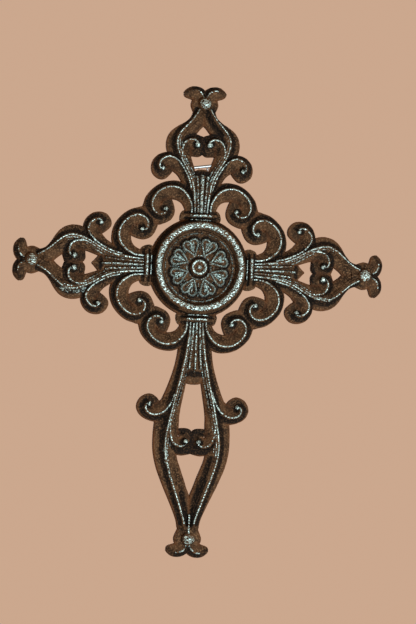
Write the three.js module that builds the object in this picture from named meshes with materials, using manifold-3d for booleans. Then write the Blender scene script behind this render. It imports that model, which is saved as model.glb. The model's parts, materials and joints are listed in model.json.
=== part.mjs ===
// An ornamental cast-iron wall cross with a steel hanging wire.
// Millimetres, +Z up. The cross lies in the XZ plane, its back is flat on the wall plane Y = 0,
// and its carved face looks along -Y. The origin is the middle of the hanging wire, on the wall.

import * as THREE from 'three';
import { mergeVertices } from 'three/addons/utils/BufferGeometryUtils.js';
import Module from 'manifold-3d';

const wasm = await Module();
wasm.setup();

// Driving sizes

const SHOULDER = 3.5;        // height of the side walls above the wall plane
const GRIND_STOCK = 2;       // metal below the wall plane, ground off to make the flat back
const TOP_REACH = 0.988;     // the arms share one pattern, each drawn out to its own length
const SIDE_REACH = 1.013;
const LONG_ARM_SCROLL_REACH = 0.966;

const BOSS_RADIUS = 29.1;    // round medallion where the arms meet
const BOSS_SIDES = 36;
const RING_OUTER = 26.4;
const RING_CREST_OUTER = 25.3;
const RING_CREST_INNER = 22.9;
const RING_INNER = 21.6;
const RING_HEIGHT = 12.3;
const BOWL_HEIGHT = 5.8;
const BEAD_RADIUS = 19.5;
const EYE_BEAD_RADIUS = 7.0;
const BUTTON_RADIUS = 4.9;
const BUTTON_HEIGHT = 8.8;
const PETALS = 8;
const BALL_RADIUS = 3.9;

const WIRE_RADIUS = 0.85;
const WIRE_DEPTH = 1.9;      // wire centre above the wall plane
const WIRE_LENGTH = 15.6;
const WIRE_TILT = THREE.MathUtils.degToRad(8.8);
const WIRE_RISE = 58.6;      // wire above the middle of the medallion
const WIRE_END_DROP = 2.2;   // bent end, just inside the right side of the opening
const WIRE_END_RADIUS = 0.6;
const WIRE_END_ACROSS = 3.2;
const FIT_GAP = 0.3;
const STOCK_BLOCK = [400, 500];    // wider and taller than the cross, takes off the grinding stock

// Pattern of one half arm, in millimetres across the arm and outwards from the medallion's middle.
// Each station holds the outer edge, the crest and the inner edge of a limb, and the crest's height.
// Where a volute rolls up, its inner edge stays on one point, the eye.

const C_EYE = [23.5, 35.5];
const C_SCROLL = [
  [[2.0, 32.0], [5.4, 32.0], [8.6, 32.0], 6.2],
  [[2.4, 37.0], [5.9, 37.0], [9.6, 34.8], 6.6],
  [[4.4, 42.4], [7.8, 41.0], [11.2, 37.4], 7.0],
  [[7.6, 47.2], [10.8, 44.4], [14.0, 39.0], 7.2],
  [[12.4, 50.1], [14.2, 46.2], [17.0, 39.4], 7.4],
  [[18.0, 50.3], [18.2, 46.6], [19.6, 39.6], 7.4],
  [[23.6, 48.6], [22.2, 45.4], [21.6, 38.8], 7.4],
  [[28.4, 45.0], [25.6, 42.8], [22.8, 37.6], 7.4],
  [[31.8, 40.6], [28.0, 39.4], [23.4, 36.4], 7.4],
  [[33.2, 36.4], [28.8, 35.8], C_EYE, 7.4],
  [[33.9, 33.0], [28.0, 32.8], C_EYE, 7.4],
  [[30.8, 29.8], [26.0, 30.8], C_EYE, 7.4],
  [[25.4, 24.4], [23.6, 30.2], C_EYE, 7.4],
  [[20.6, 25.2], [21.4, 30.8], C_EYE, 7.4],
  [[16.6, 27.8], [20.2, 32.2], C_EYE, 7.2],
  [[14.9, 32.0], [20.0, 34.0], C_EYE, 6.6],
  [[15.8, 36.8], [20.6, 35.4], C_EYE, 5.4],
  [[18.0, 40.6], [21.4, 36.8], C_EYE, 4.4],
];

const LYRE = [
  [[6.6, 32.0], [3.5, 32.0], [1.6, 32.0], 6.2],
  [[7.4, 38.0], [3.9, 38.0], [1.4, 38.0], 6.8],
  [[8.6, 44.0], [4.6, 44.0], [1.4, 44.0], 7.2],
  [[10.4, 50.0], [5.8, 50.0], [2.0, 50.0], 7.4],
  [[13.4, 56.0], [8.2, 55.6], [3.7, 56.0], 7.5],
  [[17.4, 62.0], [11.4, 61.0], [5.6, 61.4], 7.5],
  [[20.6, 67.0], [14.0, 66.4], [6.8, 65.4], 7.5],
  [[21.5, 71.5], [15.4, 71.4], [7.4, 71.4], 7.5],
  [[20.9, 75.6], [15.2, 75.4], [5.6, 76.4], 7.5],
  [[19.0, 79.2], [13.4, 79.2], [3.6, 78.8], 7.5],
  [[15.6, 82.2], [10.4, 82.8], [1.6, 81.4], 7.5],
  [[11.2, 84.9], [7.4, 86.2], [-0.4, 83.6], 7.5],
  [[7.8, 88.0], [5.0, 89.6], [-0.6, 87.4], 7.4],
  [[6.4, 91.6], [3.2, 93.0], [-0.6, 91.6], 7.0],
];

const SIDE_EYE = [21.8, 58.8];
const SIDE_VOLUTE = [
  [[3.6, 44.6], [5.9, 44.6], [9.0, 44.0], 6.6],
  [[4.6, 50.4], [7.4, 50.4], [11.8, 50.0], 7.0],
  [[6.6, 56.2], [9.8, 55.6], [14.2, 53.6], 7.2],
  [[10.0, 61.6], [13.0, 60.4], [16.6, 55.6], 7.2],
  [[14.6, 65.4], [16.4, 63.3], [18.6, 57.2], 7.2],
  [[20.4, 67.0], [19.8, 64.4], [20.4, 58.4], 7.2],
  [[25.2, 65.6], [22.8, 63.2], SIDE_EYE, 7.2],
  [[28.6, 62.2], [24.9, 60.8], SIDE_EYE, 7.2],
  [[29.7, 57.8], [25.2, 58.6], SIDE_EYE, 7.2],
  [[28.6, 53.8], [24.6, 57.2], SIDE_EYE, 7.2],
  [[25.2, 51.1], [23.3, 56.8], SIDE_EYE, 6.8],
  [[21.6, 51.0], [22.0, 57.2], SIDE_EYE, 5.8],
  [[18.8, 53.4], [21.0, 57.8], SIDE_EYE, 4.8],
  [[17.0, 55.8], [20.2, 58.6], SIDE_EYE, 4.2],
];

const INNER_EYE = [6.2, 70.2];
const INNER_VOLUTE = [
  [[13.0, 60.4], [11.0, 60.8], [6.4, 61.4], 6.6],
  [[14.4, 65.8], [12.4, 65.8], [6.8, 65.4], 7.0],
  [[14.4, 70.8], [12.2, 70.4], [7.6, 68.2], 7.0],
  [[12.6, 75.0], [10.6, 73.4], [7.4, 69.4], 7.0],
  [[9.4, 77.6], [8.2, 74.7], INNER_EYE, 7.0],
  [[5.6, 78.5], [5.6, 74.8], INNER_EYE, 7.0],
  [[2.0, 77.6], [3.9, 73.8], INNER_EYE, 7.0],
  [[-0.5, 76.2], [3.1, 72.2], INNER_EYE, 7.0],
  [[-0.5, 72.0], [3.2, 70.4], INNER_EYE, 6.8],
  [[-0.5, 67.4], [4.2, 69.0], INNER_EYE, 5.8],
  [[1.8, 65.1], [5.0, 68.4], INNER_EYE, 4.8],
  [[5.4, 65.1], [6.0, 68.2], INNER_EYE, 4.2],
  [[8.6, 65.6], [7.0, 68.4], INNER_EYE, 4.0],
];

// The long arm's own limbs, drawn the same way

const LONG_LIMB = [
  [[6.6, 32.0], [3.5, 32.0], [1.6, 32.0], 6.2],
  [[8.0, 40.0], [4.0, 40.0], [1.2, 40.0], 7.0],
  [[9.6, 46.0], [4.8, 46.0], [1.2, 46.0], 7.2],
  [[10.4, 52.0], [5.6, 52.0], [2.0, 52.0], 7.4],
  [[11.6, 58.0], [6.8, 58.0], [3.0, 58.0], 7.5],
  [[13.2, 63.6], [8.0, 64.0], [3.8, 64.0], 7.5],
  [[15.2, 69.4], [9.4, 70.0], [4.8, 69.6], 7.5],
  [[17.2, 74.4], [10.8, 75.6], [5.8, 75.2], 7.5],
  [[19.2, 79.0], [12.0, 81.0], [6.8, 80.8], 7.5],
  [[21.2, 84.4], [13.2, 86.6], [7.5, 86.4], 7.5],
  [[22.0, 91.0], [14.4, 92.6], [7.6, 92.2], 7.5],
  [[22.4, 98.0], [15.3, 98.6], [8.0, 99.0], 7.5],
  [[22.3, 104.4], [15.6, 104.4], [8.4, 105.6], 7.5],
  [[21.4, 110.4], [15.0, 110.2], [7.8, 110.6], 7.5],
  [[19.7, 116.6], [13.5, 116.2], [6.0, 115.8], 7.5],
  [[17.4, 122.4], [11.6, 122.2], [4.0, 121.0], 7.5],
  [[14.8, 128.4], [9.4, 128.4], [2.0, 126.8], 7.5],
  [[12.0, 134.4], [7.2, 134.6], [-0.2, 132.8], 7.5],
  [[9.3, 140.4], [5.0, 140.8], [-0.6, 139.4], 7.4],
  [[7.1, 146.0], [3.2, 146.6], [-0.6, 146.0], 7.2],
  [[6.3, 150.4], [2.2, 151.6], [-0.6, 151.4], 7.0],
];

const EAR_EYE = [24.0, 81.6];
const EAR_VOLUTE = [
  [[6.6, 72.0], [10.2, 71.4], [14.4, 71.0], 6.6],
  [[7.6, 78.0], [12.2, 76.6], [17.0, 75.2], 7.0],
  [[9.0, 84.0], [14.4, 81.0], [19.2, 77.6], 7.2],
  [[14.0, 88.0], [17.4, 84.2], [20.6, 78.6], 7.2],
  [[20.0, 90.0], [21.0, 85.8], [22.4, 80.2], 7.2],
  [[26.0, 89.0], [24.8, 85.6], EAR_EYE, 7.2],
  [[30.6, 86.2], [27.2, 83.8], EAR_EYE, 7.2],
  [[32.7, 81.8], [27.8, 81.4], EAR_EYE, 7.2],
  [[31.4, 77.2], [26.8, 79.8], EAR_EYE, 7.2],
  [[28.0, 74.4], [25.4, 79.4], EAR_EYE, 6.8],
  [[24.2, 74.0], [24.0, 79.6], EAR_EYE, 5.6],
  [[21.0, 76.0], [23.0, 80.2], EAR_EYE, 4.6],
  [[18.8, 79.0], [22.4, 81.0], EAR_EYE, 4.0],
];

const WINDOW_EYE = [6.2, 98.6];
const WINDOW_VOLUTE = [
  [[15.2, 86.0], [13.0, 86.0], [8.0, 86.0], 6.6],
  [[16.2, 91.0], [13.2, 91.0], [7.6, 90.6], 7.0],
  [[15.8, 97.0], [12.8, 96.6], [8.4, 95.6], 7.0],
  [[14.2, 103.0], [11.2, 101.2], [7.8, 97.8], 7.0],
  [[10.6, 107.4], [8.6, 103.2], WINDOW_EYE, 7.0],
  [[6.2, 108.8], [6.0, 103.6], WINDOW_EYE, 7.0],
  [[2.0, 108.2], [4.0, 102.5], WINDOW_EYE, 7.0],
  [[-0.5, 106.8], [3.2, 101.0], WINDOW_EYE, 7.0],
  [[-0.5, 101.0], [3.6, 99.2], WINDOW_EYE, 6.6],
  [[-0.5, 95.8], [4.2, 97.4], WINDOW_EYE, 5.4],
  [[2.0, 93.2], [5.0, 96.4], WINDOW_EYE, 4.4],
  [[7.0, 93.0], [6.4, 96.4], WINDOW_EYE, 4.0],
];

// Smaller forms, as half widths and heights at distances outwards

const LEAF_SHORT = [[3.0, 32, 6.0], [3.4, 45, 6.2], [4.4, 53, 6.0], [4.8, 57, 4.6], [3.2, 58.6, 4.2],
  [1.4, 60.2, 4.0], [0.4, 61.2, 3.8]];
const LEAF_TOP = [[3.0, 32, 6.0], [3.4, 45, 6.2], [4.2, 53, 5.6], [4.4, 56, 4.2], [2.0, 57.6, 3.9]];
const LEAF_LONG = [[3.0, 32, 6.0], [3.4, 45, 6.2], [4.4, 56, 6.0], [4.8, 62, 4.8], [4.6, 66.6, 4.0],
  [1.2, 67.6, 3.8]];
const NECK = [[5.8, 88.5, 6.6], [6.3, 90.6, 6.6], [7.5, 93.4, 6.4], [8.0, 95.6, 6.2], [7.3, 98.4, 5.8],
  [4.8, 101.4, 4.6]];
const COLLAR = [[11.8, 26.2, 31.6, 3.9], [9.6, 26.0, 33.4, 4.8], [6.8, 25.6, 34.0, 6.6],
  [5.9, 25.4, 34.0, 8.6], [0, 25.4, 34.0, 8.9]];
const COLLAR_CREST = 30.2;

// Leaves of a finial, as a limb's rails

const FINIAL_LEAF = [
  [[-0.4, 103.2], [0.8, 99.8], [2.4, 96.4], 4.6],
  [[0.4, 104.4], [2.4, 102.2], [5.6, 97.6], 6.4],
  [[3.0, 105.9], [4.4, 103.4], [7.6, 98.4], 6.6],
  [[6.2, 106.5], [6.8, 103.6], [9.2, 98.9], 6.2],
  [[9.2, 105.6], [9.2, 103.0], [10.6, 99.6], 5.4],
  [[11.2, 103.6], [10.8, 102.0], [11.8, 100.8], 4.4],
];
const BALL_OUT = 96.6;
const BALL_TOP = 9.6;
const LONG_FINIAL_SHIFT = 61.0;    // the long arm ends this much further out

// Raised lines: reeds on the arms, rims and ribs in the flower

const REED_HALF_WIDTH = 0.9;
const REED_TOP = 7.3;
const REED_SHORT = [[1.8, 32], [2.5, 45], [3.2, 54]];
const REED_LONG = [[1.8, 32], [2.5, 48], [3.4, 59]];
const MID_REED_SHORT = [[0, 32], [0, 45], [0, 56]];
const MID_REED_TOP = [[0, 32], [0, 45], [0, 53.5]];
const MID_REED_LONG = [[0, 32], [0, 48], [0, 60.5]];
const PETAL_RIM = [[0.5, 7.8], [2.4, 10.4], [4.0, 13.4], [3.9, 15.9], [2.2, 17.0], [0.7, 16.4],
  [0, 14.8]];
const PETAL_RIB = [[0, 9.6], [0, 13.6]];
const GAP_RIB = [[0, 8.6], [0, 16.4]];
const LINE_HALF_WIDTH = 0.7;
const PETAL_TOP = BOWL_HEIGHT + 1.7;
const GAP_RIB_TOP = BOWL_HEIGHT + 0.8;

// Solids

function solidOf(geometry) {
  const bare = geometry.clone();
  bare.deleteAttribute('normal');
  bare.deleteAttribute('uv');
  const welded = mergeVertices(bare, 1e-4);
  const corner = [new THREE.Vector3(), new THREE.Vector3(), new THREE.Vector3()];
  const index = welded.index.array;
  const kept = [];
  for (let i = 0; i < index.length; i += 3) {
    const [a, b, c] = index.slice(i, i + 3);
    if (a !== b && b !== c && c !== a) kept.push(a, b, c);
  }
  const triVerts = Uint32Array.from(kept);
  const place = welded.attributes.position;
  let volume = 0;
  for (let i = 0; i < triVerts.length; i += 3) {
    corner.forEach((v, k) => v.fromBufferAttribute(place, triVerts[i + k]));
    volume += corner[0].dot(corner[1].cross(corner[2]));
  }
  if (volume < 0) {
    for (let i = 0; i < triVerts.length; i += 3) {
      [triVerts[i + 1], triVerts[i + 2]] = [triVerts[i + 2], triVerts[i + 1]];
    }
  }
  const vertProperties = Float32Array.from(place.array);
  return new wasm.Manifold(new wasm.Mesh({ numProp: 3, vertProperties, triVerts }));
}

function geometryOf(solid) {
  const mesh = solid.getMesh();
  const geometry = new THREE.BufferGeometry();
  geometry.setAttribute('position', new THREE.BufferAttribute(mesh.vertProperties, 3));
  geometry.setIndex(new THREE.BufferAttribute(mesh.triVerts, 1));
  return geometry;
}

function joined(solids) {
  return solids.reduce((sum, next) => sum.add(next));
}

function moved(solid, matrix) {
  return solidOf(geometryOf(solid).applyMatrix4(matrix));
}

function bothHalves(solid) {
  return [solid, moved(solid, new THREE.Matrix4().makeScale(-1, 1, 1))];
}

// A limb is one section drawn along three rails: outer edge, crest and inner edge.
// Across the section, -1 is the outer edge and 1 the inner one.
// Up the section, 0 is the back, 0.5 the shoulder and 1 the crest.

const HOLLOW_FLANK = [[-1, 0], [1, 0], [1, 0.5], [0, 1], [-0.36, 0.62], [-1, 0.5]];
const PLAIN_RIDGE = [[-1, 0], [1, 0], [1, 0.5], [0, 1], [-1, 0.5]];
const TWO_RINGS = [[-1, 0], [1, 0], [1, 0.5], [0.6, 0.92], [0.25, 0.74], [0, 1], [-1, 0.5]];

function limb(stations, from, to, steps, section, eye = null) {
  const rail = (k) => new THREE.SplineCurve(stations.map((s) => new THREE.Vector2(...s[k])));
  const rails = [rail(0), rail(1), rail(2)];
  const tops = new THREE.SplineCurve(stations.map((s, i) => new THREE.Vector2(i, s[3])));
  const outline = new THREE.Shape(section.map(([u, v]) => new THREE.Vector2(u, v)));
  const geometry = new THREE.ExtrudeGeometry(outline, { steps, depth: 1, bevelEnabled: false });
  const p = geometry.attributes.position;
  for (let i = 0; i < p.count; i += 1) {
    const along = (from + (to - from) * p.getZ(i)) / (stations.length - 1);
    const u = p.getX(i);
    const v = p.getY(i);
    const inner = eye ? new THREE.Vector2(...eye) : rails[2].getPoint(along);
    const edge = u < 0 ? rails[0].getPoint(along) : inner;
    const spot = rails[1].getPoint(along).lerp(edge, Math.abs(u));
    const rise = tops.getPoint(along).y - SHOULDER;
    const height = v < 0.5 ? -GRIND_STOCK : SHOULDER + (2 * v - 1) * rise;
    p.setXYZ(i, spot.x, -height, spot.y);
  }
  return solidOf(geometry);
}

function wholeLimb(stations, steps, section = HOLLOW_FLANK) {
  return limb(stations, 0, stations.length - 1, steps, section);
}

// A volute rolls about its own eye, so it is drawn in two lengths that meet where the roll begins

function volute(stations, eye, steps, section = PLAIN_RIDGE) {
  const last = stations.length - 1;
  const turn = stations.findIndex((s) => s[2] === eye);
  const firstSteps = Math.round(steps * turn / last);
  const stem = limb(stations, 0, turn, firstSteps, section);
  const roll = limb(stations, turn, last, steps - firstSteps, section, eye);
  return stem.add(roll);
}

// A limb on the arm's own axis, the same on both sides

function spine(stations) {
  const rails = stations.map(([half, out, top]) => [[-half, out], [0, out], [half, out], top]);
  return wholeLimb(rails, stations.length - 1, PLAIN_RIDGE);
}

// A raised line of three-sided section along a curve

function raisedLine(points, steps, halfWidth, base, top) {
  const curve = new THREE.SplineCurve(points.map((xy) => new THREE.Vector2(...xy)));
  const outline = new THREE.Shape([
    new THREE.Vector2(-1, 0),
    new THREE.Vector2(1, 0),
    new THREE.Vector2(0, 1),
  ]);
  const geometry = new THREE.ExtrudeGeometry(outline, { steps, depth: 1, bevelEnabled: false });
  const p = geometry.attributes.position;
  for (let i = 0; i < p.count; i += 1) {
    const spot = curve.getPoint(p.getZ(i));
    const tangent = curve.getTangent(p.getZ(i));
    const across = p.getX(i) * halfWidth;
    const height = base + p.getY(i) * (top - base);
    p.setXYZ(i, spot.x - across * tangent.y, -height, spot.y + across * tangent.x);
  }
  return solidOf(geometry);
}

function reeds(middle, side) {
  const reed = (points) => raisedLine(points, 3, REED_HALF_WIDTH, SHOULDER, REED_TOP);
  return [reed(middle), ...bothHalves(reed(side))];
}

function finial(shift) {
  const ball = new THREE.SphereGeometry(BALL_RADIUS, 8, 6);
  ball.translate(0, BALL_RADIUS - BALL_TOP, BALL_OUT);
  const leaf = wholeLimb(FINIAL_LEAF, 6);
  const all = joined([spine(NECK), solidOf(ball), ...bothHalves(leaf)]);
  return moved(all, new THREE.Matrix4().makeTranslation(0, 0, shift));
}

// The collar crosses the arm, so its rails run from side to side

function collar() {
  const right = COLLAR.map(([x, low, high, top]) => [[x, high], [x, COLLAR_CREST], [x, low], top]);
  const left = right.slice(0, -1).reverse().map(([high, crest, low, top]) => [
    [-high[0], high[1]], [-crest[0], crest[1]], [-low[0], low[1]], top,
  ]);
  const band = [...right, ...left];
  return wholeLimb(band, band.length - 1, TWO_RINGS);
}

function scrollPair(reach) {
  const scroll = volute(C_SCROLL, C_EYE, 18, HOLLOW_FLANK);
  return bothHalves(moved(scroll, new THREE.Matrix4().makeScale(1, 1, reach)));
}

function shortArm(leaf, middleReed) {
  const half = joined([
    wholeLimb(LYRE, 11),
    volute(SIDE_VOLUTE, SIDE_EYE, 12),
    volute(INNER_VOLUTE, INNER_EYE, 11),
  ]);
  return joined([collar(), ...scrollPair(1), ...bothHalves(half), spine(leaf),
    ...reeds(middleReed, REED_SHORT), finial(0)]);
}

function longArm() {
  const half = joined([
    wholeLimb(LONG_LIMB, 14),
    volute(EAR_VOLUTE, EAR_EYE, 12),
    volute(WINDOW_VOLUTE, WINDOW_EYE, 11),
  ]);
  return joined([collar(), ...scrollPair(LONG_ARM_SCROLL_REACH), ...bothHalves(half),
    spine(LEAF_LONG), ...reeds(MID_REED_LONG, REED_LONG), finial(LONG_FINIAL_SHIFT)]);
}

// An arm is drawn upright, stretched to its reach and then turned to its place

function armAt(solid, quarterTurns, reach) {
  const draw = new THREE.Matrix4().makeScale(1, 1, reach);
  const turn = new THREE.Matrix4().makeRotationY(quarterTurns * Math.PI / 2);
  return moved(solid, turn.multiply(draw));
}

// The medallion is turned about the axis through its middle

function turned(profile, sides) {
  const points = profile.map(([radius, height]) => new THREE.Vector2(radius, -height));
  return solidOf(new THREE.LatheGeometry(points, sides));
}

function beadRing(radius, sides) {
  return turned([
    [radius - LINE_HALF_WIDTH, BOWL_HEIGHT - 1], [radius + LINE_HALF_WIDTH, BOWL_HEIGHT - 1],
    [radius, GAP_RIB_TOP], [radius - LINE_HALF_WIDTH, BOWL_HEIGHT - 1],
  ], sides);
}

function medallion() {
  const disc = turned([
    [0, -GRIND_STOCK], [BOSS_RADIUS, -GRIND_STOCK], [BOSS_RADIUS, SHOULDER],
    [RING_OUTER, RING_HEIGHT - 2.2], [RING_CREST_OUTER, RING_HEIGHT],
    [RING_CREST_INNER, RING_HEIGHT], [RING_INNER, BOWL_HEIGHT + 1.4],
    [RING_INNER - 1.2, BOWL_HEIGHT], [0, BOWL_HEIGHT],
  ], BOSS_SIDES);
  const button = turned([
    [0, BOWL_HEIGHT - 1], [BUTTON_RADIUS, BOWL_HEIGHT - 1],
    [BUTTON_RADIUS - 0.5, BUTTON_HEIGHT - 0.8], [BUTTON_RADIUS - 1.1, BUTTON_HEIGHT - 0.3],
    [BUTTON_RADIUS - 2.6, BUTTON_HEIGHT - 1.4], [1.3, BUTTON_HEIGHT - 0.5], [0, BUTTON_HEIGHT],
  ], 12);
  const line = (points, steps, top) => raisedLine(points, steps, LINE_HALF_WIDTH, BOWL_HEIGHT - 1, top);
  const petal = joined([...bothHalves(line(PETAL_RIM, 4, PETAL_TOP)), line(PETAL_RIB, 1, PETAL_TOP)]);
  const gapRib = line(GAP_RIB, 1, GAP_RIB_TOP);
  const flower = [];
  for (let k = 0; k < PETALS; k += 1) {
    const angle = 2 * Math.PI * k / PETALS;
    flower.push(moved(gapRib, new THREE.Matrix4().makeRotationY(angle)));
    flower.push(moved(petal, new THREE.Matrix4().makeRotationY(angle + Math.PI / PETALS)));
  }
  return joined([disc, button, beadRing(BEAD_RADIUS, 24), beadRing(EYE_BEAD_RADIUS, 12), ...flower]);
}

// The hanging wire crosses the opening near the end of the top arm

const WIRE_MIDDLE = new THREE.Vector3(0, -WIRE_DEPTH, WIRE_RISE);

function rod(radius, length, sides) {
  const bar = new THREE.CylinderGeometry(radius, radius, length, sides);
  bar.rotateZ(Math.PI / 2);
  bar.rotateY(-WIRE_TILT);
  bar.translate(WIRE_MIDDLE.x, WIRE_MIDDLE.y, WIRE_MIDDLE.z);
  return solidOf(bar);
}

function hangerWire() {
  const end = new THREE.CylinderGeometry(WIRE_END_RADIUS, WIRE_END_RADIUS, WIRE_END_DROP, 8);
  end.rotateX(Math.PI / 2);
  end.translate(WIRE_END_ACROSS, -WIRE_DEPTH, WIRE_RISE - WIRE_END_DROP / 2);
  return rod(WIRE_RADIUS, WIRE_LENGTH, 12).add(solidOf(end));
}

function casting() {
  const side = shortArm(LEAF_SHORT, MID_REED_SHORT);
  const whole = joined([
    medallion(),
    armAt(shortArm(LEAF_TOP, MID_REED_TOP), 0, TOP_REACH),
    armAt(side, 1, SIDE_REACH),
    armAt(side, 3, SIDE_REACH),
    armAt(longArm(), 2, 1),
  ]);
  const [stockWidth, stockHeight] = STOCK_BLOCK;
  const stock = new THREE.BoxGeometry(stockWidth, 2 * GRIND_STOCK, stockHeight);
  stock.translate(0, GRIND_STOCK, 0);
  const seat = rod(WIRE_RADIUS + FIT_GAP, WIRE_LENGTH + 2 * FIT_GAP, 12);
  return whole.subtract(solidOf(stock)).subtract(seat);
}

// Parts

const castIron = new THREE.MeshStandardMaterial({ color: 0x4a382a, roughness: 0.55, metalness: 0.6 });
const brightSteel = new THREE.MeshStandardMaterial({ color: 0xd8dcdc, roughness: 0.3, metalness: 1 });

function part(name, solid, material) {
  const mesh = new THREE.Mesh(geometryOf(solid), material);
  mesh.name = name;
  return mesh;
}

// The parts are drawn about the medallion's middle and then lowered to hang from the origin

const group = new THREE.Group();
group.position.z = -WIRE_RISE;
group.add(part('cross_casting', casting(), castIron));
group.add(part('hanger_wire', hangerWire(), brightSteel));

export default group;
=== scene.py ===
# %% [markdown]
# # An ornamental cast-iron wall cross
#
# The real cross is one flat-backed casting: a round medallion with a flower, and four arms of
# scrolls that are open between their strands. A moulder presses a carved pattern into sand, pours
# iron, grinds the back flat and paints the front brown, and years of dusting rub every raised
# line back to pale metal. A bright steel wire crosses the back of the top arm, to hang it by.
#
# The measured model is loaded first. Everything after it is drawn in the same metres and the same
# place, so nothing has to be fitted afterwards.

# %% Load the measured model
import json
import math

import bmesh
import bpy
import numpy as np
from mathutils import Matrix, Vector, noise
from mathutils.kdtree import KDTree

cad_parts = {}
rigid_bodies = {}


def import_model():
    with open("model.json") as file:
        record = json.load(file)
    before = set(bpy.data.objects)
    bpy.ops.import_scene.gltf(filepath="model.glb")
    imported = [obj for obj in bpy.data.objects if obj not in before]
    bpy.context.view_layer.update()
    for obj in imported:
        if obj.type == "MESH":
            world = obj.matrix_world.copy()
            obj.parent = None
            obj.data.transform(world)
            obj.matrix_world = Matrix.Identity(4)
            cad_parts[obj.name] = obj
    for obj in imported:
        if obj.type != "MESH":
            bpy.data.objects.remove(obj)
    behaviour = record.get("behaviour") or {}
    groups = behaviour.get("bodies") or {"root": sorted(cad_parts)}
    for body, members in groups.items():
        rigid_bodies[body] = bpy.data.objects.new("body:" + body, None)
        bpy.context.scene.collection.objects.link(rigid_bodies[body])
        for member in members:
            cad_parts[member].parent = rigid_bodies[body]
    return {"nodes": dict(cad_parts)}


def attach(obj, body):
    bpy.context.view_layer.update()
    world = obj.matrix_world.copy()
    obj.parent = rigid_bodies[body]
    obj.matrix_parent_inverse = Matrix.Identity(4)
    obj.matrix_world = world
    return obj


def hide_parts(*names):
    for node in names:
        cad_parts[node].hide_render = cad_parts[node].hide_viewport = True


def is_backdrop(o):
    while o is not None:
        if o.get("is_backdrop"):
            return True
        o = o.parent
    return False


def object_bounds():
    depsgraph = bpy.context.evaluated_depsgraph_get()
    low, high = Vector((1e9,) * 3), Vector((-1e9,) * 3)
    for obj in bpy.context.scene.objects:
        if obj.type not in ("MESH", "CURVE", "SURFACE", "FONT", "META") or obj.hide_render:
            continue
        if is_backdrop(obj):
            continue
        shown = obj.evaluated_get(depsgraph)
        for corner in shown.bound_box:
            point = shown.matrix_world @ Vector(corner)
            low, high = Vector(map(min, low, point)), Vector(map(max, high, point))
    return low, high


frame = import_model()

scene = bpy.context.scene
measured_low, measured_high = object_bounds()
print("nodes", sorted(frame["nodes"]))
print("measured box in mm", [round(1000 * v, 1) for v in (measured_high - measured_low)])

# %% [markdown]
# ## The sizes that drive the drawing
#
# A pattern maker works in millimetres, with heights taken from the flat back. So do the cells
# below: the finished casting is brought to metres once, at the end. The shoulder is where a
# strand's upright side stops and its carving begins.

# %% Sizes in millimetres
MM = 0.001
SHOULDER = 3.5
STOCK = 2.0  # extra metal behind the flat back, ground off when all is joined
TOP_REACH = 0.988  # one pattern serves the arms, each drawn out to its own length
SIDE_REACH = 1.013
LOWER_SCROLL_REACH = 0.966
MEDALLION_DROP = 58.6  # the medallion's middle below the wire
COLLAR_CREST = 30.2
BALL_RADIUS = 3.9
BALL_OUT = 95.9
BALL_TOP = 9.6
LOWER_FINIAL_SHIFT = 61.0
WIRE_RADIUS = 0.85
WIRE_DEPTH = 1.9
WIRE_LENGTH = 15.6
WIRE_TILT = math.radians(8.8)
FIT_GAP = 0.3

# %% [markdown]
# ## The pattern of half an arm
#
# Each strand is drawn with three pencil lines: its outer edge, its crest and its inner edge. The
# lists hold marks along those lines, as (across, outwards) from the medallion's middle, and the
# height of the crest at each mark. In a volute the inner line stays on one point, the eye, and the
# other two wind about it. A bezier curve with handles would do as well, but marks that the curve
# passes through are easier to read off a drawing. So a volute has a stem, whose marks give all three
# lines, and a roll, whose marks give the outer edge, the crest and the height.

# %% Marks for the scrolls and strands
SCROLL_EYE = (23.5, 35.5)
SCROLL_STEM = [
    ((2, 32), (5.4, 32), (8.6, 32), 6.2),
    ((2.4, 37), (5.9, 37), (9.6, 34.8), 6.6),
    ((4.4, 42.4), (7.8, 41), (11.2, 37.4), 7),
    ((7.6, 47.2), (10.8, 44.4), (14, 39), 7.2),
    ((12.4, 50.1), (14.2, 46.2), (17, 39.4), 7.4),
    ((18, 50.3), (18.2, 46.6), (19.6, 39.6), 7.4),
    ((23.6, 48.6), (22.2, 45.4), (21.6, 38.8), 7.4),
    ((28.4, 45), (25.6, 42.8), (22.8, 37.6), 7.4),
    ((31.8, 40.6), (28, 39.4), (23.4, 36.4), 7.4),
]
SCROLL_ROLL = [
    ((33.2, 36.4), (28.8, 35.8), 7.4),
    ((33.9, 33), (28, 32.8), 7.4),
    ((30.8, 29.8), (26, 30.8), 7.4),
    ((25.4, 24.4), (23.6, 30.2), 7.4),
    ((20.6, 25.2), (21.4, 30.8), 7.4),
    ((16.6, 27.8), (20.2, 32.2), 6.8),
    ((14.9, 32), (20, 34), 5.4),
    ((15.8, 36.8), (20.6, 35.4), 4.6),
    ((18, 40.6), (21.4, 36.8), 4.2),
    ((21.6, 41.2), (22.5, 38.3), 4),
]
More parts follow.
